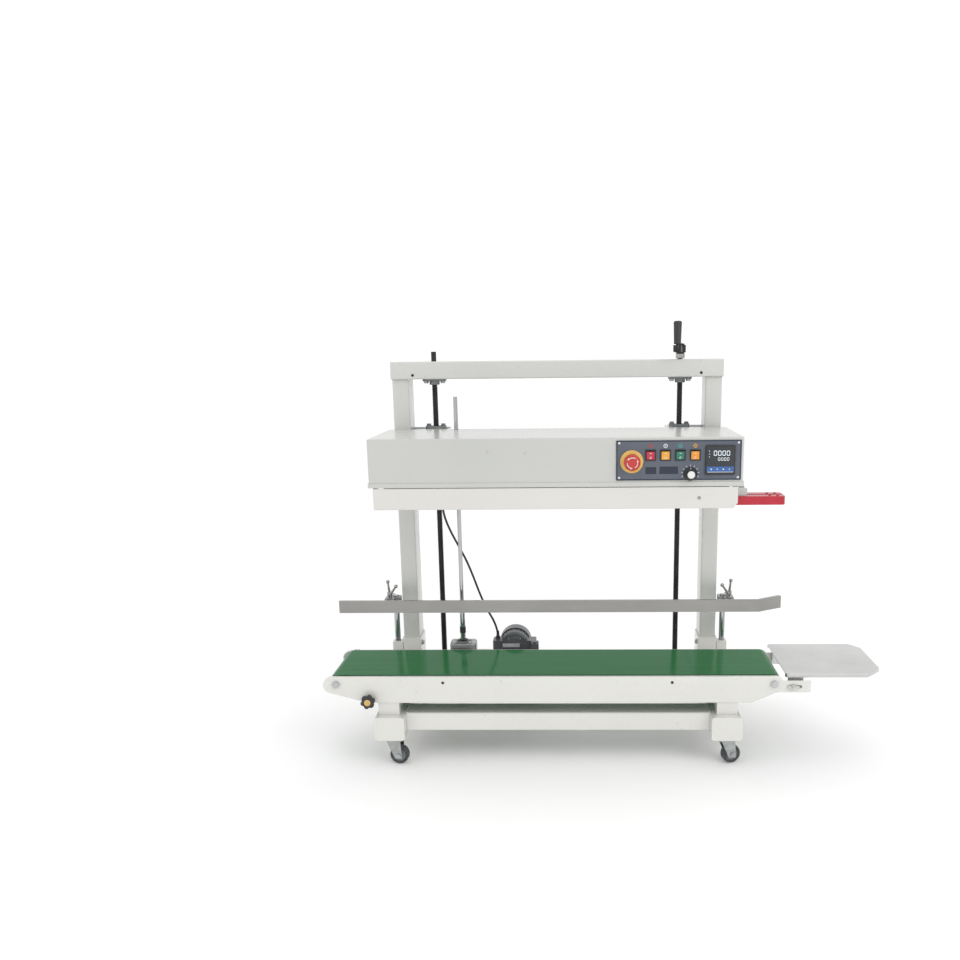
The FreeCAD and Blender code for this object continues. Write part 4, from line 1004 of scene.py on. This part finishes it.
def makeStarKnob():
    s = knobSettings
    centre = at(midX + s["x"], beltY - 112 + s["face"], s["z"])
    bm = bmesh.new()
    steps = s["lobes"] * 14
    rows = []
    for depth, shrink in ((0, 0.80), (0.8, 0.90), (2.4, 0.97), (5, 1.0), (11, 1.0), (14, 0.97),
                          (15.4, 0.90), (16, 0.80)):
        row = []
        for i in range(steps):
            a = 2 * math.pi * i / steps
            wave = 0.5 + 0.5 * math.cos(s["lobes"] * (a - math.radians(s["phase"])))
            r = (s["waist"] + (s["reach"] - s["waist"]) * wave ** 0.7) * shrink * mm
            row.append(bm.verts.new(centre + Vector((r * math.cos(a), depth * mm, r * math.sin(a)))))
        rows.append(row)
    for first, second in zip(rows, rows[1:]):
        for i in range(steps):
            bm.faces.new((first[i], first[(i + 1) % steps], second[(i + 1) % steps], second[i]))
    bm.faces.new(rows[0])
    bm.faces.new(list(reversed(rows[-1])))
    addTurned(bm, [(0, -8.8), (7.9, -8.8), (7.9, 0), (0, 0)], centre + at(0, 15.2, 0) * 1.0, -yAxis, 28)
    addTurned(bm, [(0, 0), (8.6, 0), (8.6, 0.5), (7.8, 0.9), (6.2, 0.35), (0, 0.1)], centre, -yAxis, 32, 1)
    give(toPiece("starKnobBody", bm, ["blackPlastic", "brass"], 0.25, 40), "tension_knob", ("star_knob",))


makeStarKnob()


# ---- casters ----
casterSettings = {"frontY": -200, "rearY": 228, "footX": 440, "trail": 18, "axleZ": 25,
                  "headings": {("front", "left"): -6, ("front", "right"): 15, ("rear", "left"): 20,
                               ("rear", "right"): -10}}


def makeCasterWheels():
    s = casterSettings
    for (end, side), heading in s["headings"].items():
        x = midX + (-1 if side == "left" else 1) * s["footX"]
        turn = Matrix.Rotation(math.radians(heading), 3, "Z")
        centre = at(x, s[end + "Y"], s["axleZ"]) + turn @ at(s["trail"], 0, 0)
        axle = turn @ yAxis
        bm = bmesh.new()
        tyre = [(17.2, -8.6), (20, -9.6), (22.4, -9.9), (24.1, -8.7), (24.9, -6.4), (25.0, -3), (25.0, 3),
                (24.9, 6.4),
                (24.1, 8.7), (22.4, 9.9), (20, 9.6), (17.2, 8.6)]
        core = [(17.2, 8.6), (16.4, 6.8), (9.8, 6.0), (8.8, 9.7), (4.05, 9.8), (4.05, -9.8), (8.8, -9.7),
                (9.8, -6.0),
                (16.4, -6.8), (17.2, -8.6)]
        addTurned(bm, tyre, centre, axle, 64)
        addTurned(bm, core, centre, axle, 64, 1)
        bmesh.ops.remove_doubles(bm, verts=bm.verts, dist=1e-6)
        name = f"{end}_{side}"
        give(toPiece(f"{end}{side.title()}Tyre", bm, ["casterRubber", "wheelHub"], 0.0, 28), name + "_wheel",
             (name + "_caster_wheel",))


makeCasterWheels()
print("grip, knob and casters made")


# ---- control panel ----
panelSettings = {
    "left": 149.5, "right": 453, "bottom": 761.5, "top": 859, "face": -240.5,
    "border": 3.2, "screwInset": (7.5, 6.5), "ringZ": 845.5, "rockerX": (233, 269, 305, 341), "rockerZ": 823,
    "legend": ((221, 247, 777, 794), (255, 300, 777, 795)),
}


def onPanel(x, z, out=0.0):    # a place on the panel's face, out towards the operator
    return at(midX + x, panelSettings["face"] - out, z)


def flatRing(bm, centre, outer, inner, thick, tag=0, steps=40):
    outline = [(inner, 0), (outer, 0), (outer, thick), (inner, thick), (inner, 0)]
    addTurned(bm, outline, centre, -yAxis, steps, tag)


def makePanelFace():
    s = panelSettings
    carried("control_panel", "panelPlate", "head", ["panelBlue"], 0.5)
    bm = bmesh.new()
    x0, x1, z0, z1, w = s["left"], s["right"], s["bottom"], s["top"], s["border"]
    for a, b, c, d in ((x0 + 0.6, x1 - 0.6, z0 + 0.6, z0 + w), (x0 + 0.6, x1 - 0.6, z1 - w, z1 - 0.6),
                       (x0 + 0.6, x0 + w, z0 + w, z1 - w), (x1 - w, x1 - 0.6, z0 + w, z1 - w)):
        addBox(bm, onPanel(a, c, 0.22), onPanel(b, d, -0.05))
    for a, b, c, d in s["legend"]:    # blank legend plates with a thin frame
        addBox(bm, onPanel(a, c, 0.35), onPanel(b, d, -0.05), 1)
        addBox(bm, onPanel(a + 1.5, c + 1.5, 0.5), onPanel(b - 1.5, d - 1.5, 0.3), 0)
    give(toPiece("panelBorder", bm, ["navyInk", "blackPlastic"], 0.0), "head")
    places = [(onPanel(x, z), -yAxis) for x in (x0 + s["screwInset"][0], x1 - s["screwInset"][0])
              for z in (z0 + s["screwInset"][1], z1 - s["screwInset"][1])]
    part = panScrewPart(2.9, 1.6)
    screws = grow("panelScrews", plantTree, {"Part": part, "Size": 1.0, "Finish": finishes["whitePlastic"]},
                  pointMesh("panelScrewPoints", places))
    give(screws, "head")
    drop(part)


def makePanelMarks():    # coloured rings over the rockers and dial ticks
    s = panelSettings
    bm = bmesh.new()
    for i, x in enumerate(s["rockerX"]):
        flatRing(bm, onPanel(x, s["ringZ"], -0.02), 5.0, 3.6, 0.3, i)
        flatRing(bm, onPanel(x, s["ringZ"], -0.02), 1.5, 0.4, 0.3, i, 16)
    marks = toPiece("panelRingMarks", bm, ["stopRed", "whiteMark", "tealMark", "rockerYellow"], 0.0)
    give(marks, "head")
    bm = bmesh.new()
    for i in range(11):
        a = math.radians(225 - 27 * i)
        for r in (19.0, 20.2, 21.4):
            c = onPanel(330 + r * math.cos(a), 777 + r * math.sin(a))
            if c.z > at(0, 0, s["bottom"] + 4.5).z:
                addBox(bm, c - at(0.7, 0.25, 0.7), c + at(0.7, 0.05, 0.7))
    give(toPiece("dialTicks", bm, ["whiteMark"], 0.0), "head")


stopSettings = {"x": 187.5, "z": 807.5}


def makeStop():
    centre = onPanel(stopSettings["x"], stopSettings["z"])
    bm = bmesh.new()
    outline = [(11.2, 0), (28, 0), (28, 1.4), (27.4, 2.2), (25.5, 2.8), (22.6, 5.2), (21.2, 6), (18, 5.9),
               (16, 4.6),
               (11.2, 4.4), (11.2, 0)]
    addTurned(bm, outline, centre, -yAxis, 72)
    bmesh.ops.remove_doubles(bm, verts=bm.verts, dist=1e-6)
    for start in (20, 140, 260):    # three turn-to-release arcs standing off the ring's slope
        arc = [centre + Vector((24.2 * mm * math.cos(a), -4.0 * mm, 24.2 * mm * math.sin(a)))
               for a in (math.radians(start + 7 * i) for i in range(9))]
        addSweep(bm, arc, 0.55 * mm, 6, 1)
    give(toPiece("stopCollarRing", bm, ["yellowPlastic", "rockerOrange"], 0.0, 30), "head",
         ("stop_collar",))
    bm = bmesh.new()
    head = [(0, -12), (10.9, -12), (10.9, 13.6), (17.6, 13.6), (19.2, 14.4), (20, 16), (20, 20.6),
            (19.4, 23.2), (17.8, 25.6),
            (15.2, 27.6), (11.8, 29.0), (7.6, 29.7), (3.6, 29.2), (0, 29.0)]
    addTurned(bm, head, centre, -yAxis, 64)
    for start in (60, 180, 300):    # lighter arrows moulded in the mushroom
        arc = []
        for i in range(11):
            a = math.radians(start + 7 * i)
            r = 12.6
            arc.append(centre + Vector((r * mm * math.cos(a), -28.6 * mm, r * mm * math.sin(a))))
        addSweep(bm, arc, 0.9 * mm, 8, 1)
        tip = arc[-1]
        way = (arc[-1] - arc[-2]).normalized()
        outline = [(0, 0), (2.6, 0), (0, 5.0)]
        made = addTurned(bm, outline, tip, way, 12, 1)
        for v in {v for f in made for v in f.verts}:
            v.co.y = centre.y - 28.4 * mm + (v.co.y - (centre.y - 28.6 * mm)) * 0.35
    give(toPiece("stopMushroom", bm, ["stopRed", "whiteMark"], 0.0, 40), "stop", ("stop_button",))


rockerSettings = {"half": (9.7, 10.0), "tilt": 7.0,
                  "finishes": ("rockerRed", "rockerYellow", "rockerGreen", "rockerOrange"),
                  "slots": ("rocker_red", "rocker_yellow", "rocker_green", "rocker_orange")}


def makeRockers():
    s, wx, wz = rockerSettings, *rockerSettings["half"]
    carried("rocker_bezels", "rockerFrames", "head", ["blackPlastic"], 0.5)
    for i, x in enumerate(panelSettings["rockerX"]):
        centre = at(midX + x, panelSettings["face"] + 1, panelSettings["rockerZ"])
        bm = bmesh.new()
        rows = []
        steps = 10
        for j in range(steps + 1):    # the key's face, dished between its two ends
            t = -1 + 2 * j / steps
            out = -5.6 + 1.5 * (1 - t * t) ** 0.8
            rows.append((out, t * wz))
        profile = rows + [(4, wz * 0.8), (4, -wz * 0.8)]
        left = [bm.verts.new(centre + at(-wx, y, z)) for y, z in profile]
        right = [bm.verts.new(centre + at(wx, y, z)) for y, z in profile]
        for j in range(len(profile)):
            k = (j + 1) % len(profile)
            bm.faces.new((left[j], left[k], right[k], right[j]))
        bm.faces.new(left)
        bm.faces.new(list(reversed(right)))
        addBox(bm, centre + at(-2.6, -5.35, 4.6), centre + at(2.6, -4.2, 6.0), 1)
        flatRing(bm, centre + at(0, -4.6, -5.3), 2.5, 1.5, 0.7, 1, 20)
        turn = Matrix.Translation(centre) @ Matrix.Rotation(math.radians(s["tilt"]), 4,
                                                            "X") @ Matrix.Translation(-centre)
        bmesh.ops.transform(bm, matrix=turn, verts=bm.verts)
        give(toPiece(f"rockerKey{i + 1}", bm, [s["finishes"][i], "whiteMark"], 0.35, 40),
             f"rocker_{i + 1}_key",
             (f"rocker_{i + 1}",))


dialSettings = {"x": 330, "z": 777, "flutes": 24}


def makeDial():
    s = dialSettings
    centre = onPanel(s["x"], s["z"])
    bm = bmesh.new()
    addTurned(bm, [(0, -14), (3.2, -14), (3.2, 1), (16.4, 1), (16.8, 1.6), (16.8, 3.2), (15.8, 5.6),
                   (13.2, 8.2), (11.6, 9.6),
                   (11.0, 19.6), (10.2, 20.8), (9.2, 21.0), (0, 21.0)], centre, -yAxis, 56)
    addTurned(bm, [(0, 20.5), (9.0, 20.5), (9.0, 21.2), (8.4, 21.5), (0, 21.5)], centre, -yAxis, 48, 1)
    addBox(bm, centre + at(-0.7, -8.9, 11.2), centre + at(0.7, -4.0, 15.6), 1)
    give(toPiece("speedDialBody", bm, ["blackPlastic", "whitePlastic"], 0.0, 30), "dial", ("speed_dial",))
    turn = Matrix.Rotation(math.radians(90), 3, "X").to_euler()
    flutes = grow("speedDialFlutes", ribTree,
                  {"Count": s["flutes"], "Radius": 11.1 * mm, "Bar": at(0.9, 1.1, 8.6),
                                               "Centre": centre + at(0, -14.6, 0), "Turn": turn,
                                               "Finish": finishes["blackPlastic"]}, edge=0.25)
    give(flutes, "dial")


gaugeSettings = {"x": 401.5, "z": 810.5, "size": 72, "upper": "0000", "lower": "0000"}
segmentsOf = {"0": "abcdef", "8": "abcdefg"}


def addFigure(bm, centre, wide, tall, shape, tag):    # one seven-segment figure
    half, t = wide / 2, wide * 0.20
    bars = {"a": (0, tall / 2, 1), "d": (0, -tall / 2, 1), "g": (0, 0, 1), "f": (-half, tall / 4, 0),
            "b": (half, tall / 4, 0),
            "e": (-half, -tall / 4, 0), "c": (half, -tall / 4, 0)}
    for key in shape:
        x, z, level = bars[key]
        sx, sz = (half - t * 0.4, t / 2) if level else (t / 2, tall / 4 - t * 0.4)
        middle = centre + at(x, 0, z)
        addBox(bm, middle - at(sx, 0.25, sz), middle + at(sx, 0.1, sz), tag)


def makeGauge():
    s = gaugeSettings
    half = s["size"] / 2
    x, z = s["x"], s["z"]
    carried("temperature_gauge", "gaugeCase", "head", ["blackPlastic"], 0.4)
    bm = bmesh.new()
    addBox(bm, onPanel(x - half + 3.5, z - 13.5, 6.25), onPanel(x + half - 3.5, z + half - 4, 5.9), 0)
    addBox(bm, onPanel(x - half + 3.5, z - half + 6.5, 6.25), onPanel(x + half - 3.5, z - 15.5, 5.9), 1)
    for i in range(4):    # four keys on the coloured band
        kx = x - 22 + 14.6 * i
        addTurned(bm, [(0, 0), (3.4, 0), (3.2, 0.35), (0, 0.45)], onPanel(kx, z - 22, 6.2), -yAxis, 20, 1)
        addTurned(bm, [(0, 0), (2.2, 0), (0, 0.12)], onPanel(kx, z - 22, 6.6), -yAxis, 3 if i % 2 else 4, 2)
    for i, shape in enumerate(s["upper"]):
        addFigure(bm, onPanel(x - 12.6 + 10.4 * i, z + 17.0, 6.3), 6.6, 10.6, segmentsOf[shape], 3)
    for i, shape in enumerate(s["lower"]):
        addFigure(bm, onPanel(x - 3.4 + 7.2 * i, z + 2.6, 6.3), 4.4, 6.6, segmentsOf[shape], 3)
    for i in range(3):
        addTurned(bm, [(0, 0), (0.9, 0), (0, 0.15)], onPanel(x - 27, z + 22 - 7 * i, 6.25), -yAxis, 12, 3)
    addBox(bm, onPanel(x - half + 5, z - 29.4, 6.4), onPanel(x + half - 5, z - 28.4, 6.2), 2)
    give(toPiece("gaugeFace", bm, ["smokedGlass", "keyBlue", "whiteMark", "litFigure"], 0.0), "head")


makePanelFace()
makePanelMarks()
makeStop()
makeRockers()
makeDial()
makeGauge()
print("control panel made")


# ---- head details ----
headSettings = {"guardScrew": (353, 717.5), "barBolts": (540, 560), "barY": 19,
                "lidScrewX": (-440, -150, 150, 440),
                "trayScrewX": (-430, -215, 0, 215, 430)}


def makeHeadScrews():
    s = headSettings
    x, z = s["guardScrew"]
    places = [(at(midX + x, -240, z), -yAxis)]
    for dx in s["trayScrewX"]:
        places.append((at(midX + dx, 44, 751.5), yAxis))
    for dx in s["lidScrewX"]:
        places.append((at(midX + dx, 42, 850), yAxis))
    for side in sides:
        places.append((at(midX + side * 460, -180, 790), side * xAxis))
        places.append((at(midX + side * 460, -20, 790), side * xAxis))
    part = panScrewPart(4.2, 1.8)
    give(grow("headScrews", plantTree, {"Part": part, "Size": 1.0, "Finish": finishes["zincPlate"]},
              pointMesh("headScrewPoints", places)), "head")
    drop(part)
    places = [(at(midX + dx, slotY + side * s["barY"], 711), zAxis) for dx in s["barBolts"] for side in sides]
    bm = bmesh.new()
    addTurned(bm, [(0, 0.3), (1.7, 0.3), (1.9, 1.3), (3.4, 1.5), (3.9, 1.0), (3.9, 0), (0, 0)], (0, 0, 0),
              zAxis, 24)
    part = loosePart("socketScrewPart", bm)
    give(grow("guideBarScrews", plantTree, {"Part": part, "Size": 1.0, "Finish": finishes["redEnamel"]},
              pointMesh("barScrewPoints", places)), "head")
    drop(part)


makeHeadScrews()


# ---- motor and gearbox details ----
motorSettings = {"x": -128, "z": 240, "radius": 42, "finCount": 30, "finLength": 26, "finY": -21,
                 "plateX": (-34, 15),
                 "plateZ": (240, 251), "baseY": -48, "boxX": (48, 70), "boxZ": (230, 260), "boxY": -61}


def makeMotorDetails():
    s = motorSettings
    turn = Matrix.Rotation(math.radians(90), 3, "X").to_euler()
    centre = at(midX + s["x"], frameY + s["finY"], s["z"])
    fins = grow("motorFins", ribTree, {"Count": s["finCount"], "Radius": (s["radius"] + 0.6) * mm,
                                       "Bar": at(3.4, 1.4, s["finLength"]),
                                       "Centre": centre, "Turn": turn, "Finish": finishes["motorPaint"]},
                                       edge=0.3)
    give(fins, "frame")
    bm = bmesh.new()
    y = frameY + s["baseY"]
    x0, x1 = (midX + s["x"] + v for v in s["plateX"])
    z0, z1 = s["plateZ"]
    addBox(bm, at(x0, y - 0.6, z0), at(x1, y + 0.1, z1))
    for x in (x0 + 2.5, x1 - 2.5):
        addTurned(bm, [(0, 0), (1.2, 0), (1.0, 0.5), (0, 0.7)], at(x, y - 0.6, (z0 + z1) / 2), -yAxis, 12)
    give(toPiece("motorPlate", bm, ["blankPlate"], 0.2), "frame")
    bm = bmesh.new()
    face = at(midX + s["x"], frameY - 44, s["z"])
    addTurned(bm, [(0, 0), (14, 0), (14, 1.0), (12.5, 1.8), (8, 2.2), (0, 2.4)], face, -yAxis, 40)
    addTurned(bm, [(33.5, 0), (36.5, 0), (36.5, 0.9), (33.5, 0.9), (33.5, 0)], face, -yAxis, 64)
    give(toPiece("motorEndBell", bm, ["motorPaint"], 0.3), "frame")
    places = []
    for a in (math.radians(52), math.radians(128)):
        places.append((face + at(27 * math.cos(a), 0, 30 * math.sin(a)), -yAxis))
    for x in (s["boxX"][0] + 4, s["boxX"][1] - 4):
        for z in (s["boxZ"][0] + 4, s["boxZ"][1] - 4):
            places.append((at(midX + s["x"] + x, frameY + s["boxY"], z), -yAxis))
    part = panScrewPart(2.2, 1.2)
    give(grow("motorScrews", plantTree, {"Part": part, "Size": 1.0, "Finish": finishes["zincPlate"]},
              pointMesh("motorScrewPoints", places)), "frame")
    drop(part)


def makeGearboxDetails():
    x, y = midX - 273, 25
    bm = bmesh.new()
    addTurned(bm, [(7.3, 0), (15, 0), (15, 1.2), (13.5, 2.2), (9.5, 2.6), (9.0, 3.6), (7.3, 3.6), (7.3, 0)],
              at(x, y, 268), zAxis, 40)
    give(toPiece("shaftSealRing", bm, ["blackOxide"], 0.2), "frame")
    places = [(at(x + 28 * math.cos(a), y + 18 * math.sin(a), 262),
               zAxis) for a in (math.radians(45 + 90 * i) for i in range(4))]
    part = hexBoltPart(3.6, 2.6)
    give(grow("gearcaseBolts", plantTree, {"Part": part, "Size": 1.0, "Finish": finishes["zincPlate"]},
              pointMesh("gearcaseBoltPoints", places), 0.2), "frame")
    drop(part)


makeMotorDetails()
makeGearboxDetails()
print("head, motor and gearbox details made")


# ---- weld beads where tubes meet ----
weldSettings = {"step": 3.2, "radius": 2.1}


def makeWeldTree():    # overlapping beads along edges, as a welder leaves them
    tree, start, end = newTree("weldBeads", [("Step", "Float", 0.003), ("Bead", "Float", 0.002),
                                             ("Finish", "Material", None)])
    line = tree.nodes.new("GeometryNodeMeshToCurve")
    even = tree.nodes.new("GeometryNodeResampleCurve")
    even.mode = "LENGTH"
    bead = tree.nodes.new("GeometryNodeMeshIcoSphere")
    bead.inputs["Subdivisions"].default_value = 2
    plant = tree.nodes.new("GeometryNodeInstanceOnPoints")
    join(tree, start, "Points", line, "Mesh")
    join(tree, line, "Curve", even, "Curve")
    join(tree, start, "Step", even, "Length")
    join(tree, start, "Bead", bead, "Radius")
    join(tree, even, "Curve", plant, "Points")
    join(tree, bead, "Mesh", plant, "Instance")
    endTree(tree, start, end, plant, "Instances")
    return tree


def makeWelds():
    s = weldSettings
    lines = []
    for side in sides:
        x = midX + side * 400
        for y0, y1 in ((-203, -140), (55, 125)):    # cross members against the feet
            lines.append((at(x, y0, 142), at(x, y1, 142)))
            lines.append((at(x, y0 - 3, 140), at(x, y0 - 3, 96)))
        hx, hy, cx = 26.5, 41.5, midX + side * 425
        lines.append((at(cx - hx, frameY - hy, 142), at(cx + hx, frameY - hy, 142)))
        for sx in sides:
            lines.append((at(cx + sx * hx, frameY - hy, 142), at(cx + sx * hx, frameY + hy, 142)))
        cx = midX + side * 442.5
        lines.append((at(cx - 26, -218, 142), at(cx + 26, -218, 142)))
        cx = midX + side * 425    # columns under the top beam
        for dy in sides:
            lines.append((at(cx - 20, frameY + dy * 37.5, 1000), at(cx + 20, frameY + dy * 37.5, 1000)))
    mesh = bpy.data.meshes.new("weldLines")
    mesh.from_pydata([tuple(p) for line in lines for p in line],
                     [(2 * i, 2 * i + 1) for i in range(len(lines))], [])
    beads = grow("weldBeads", makeWeldTree(), {"Step": s["step"] * mm, "Bead": s["radius"] * mm,
                                               "Finish": finishes["weldBead"]}, mesh, angle=60)
    give(beads, "frame")


makeWelds()


# ---- belt splice ----
def makeSplice():    # the finger joint that closes the belt, a thread proud of its face
    bm = bmesh.new()
    y0, count, pitch, reach = beltY - 98, 14, 14.0, 9.0
    points = []
    for i in range(count * 2 + 1):
        points.append(at(midX + 352 + (reach if i % 2 else -reach), y0 + i * pitch / 2, 250.0))
    addSweep(bm, points, 0.12 * mm, 6)
    give(toPiece("beltSplice", bm, ["beltGreen"], 0.0), "frame")


makeSplice()
print("welds and splice made")
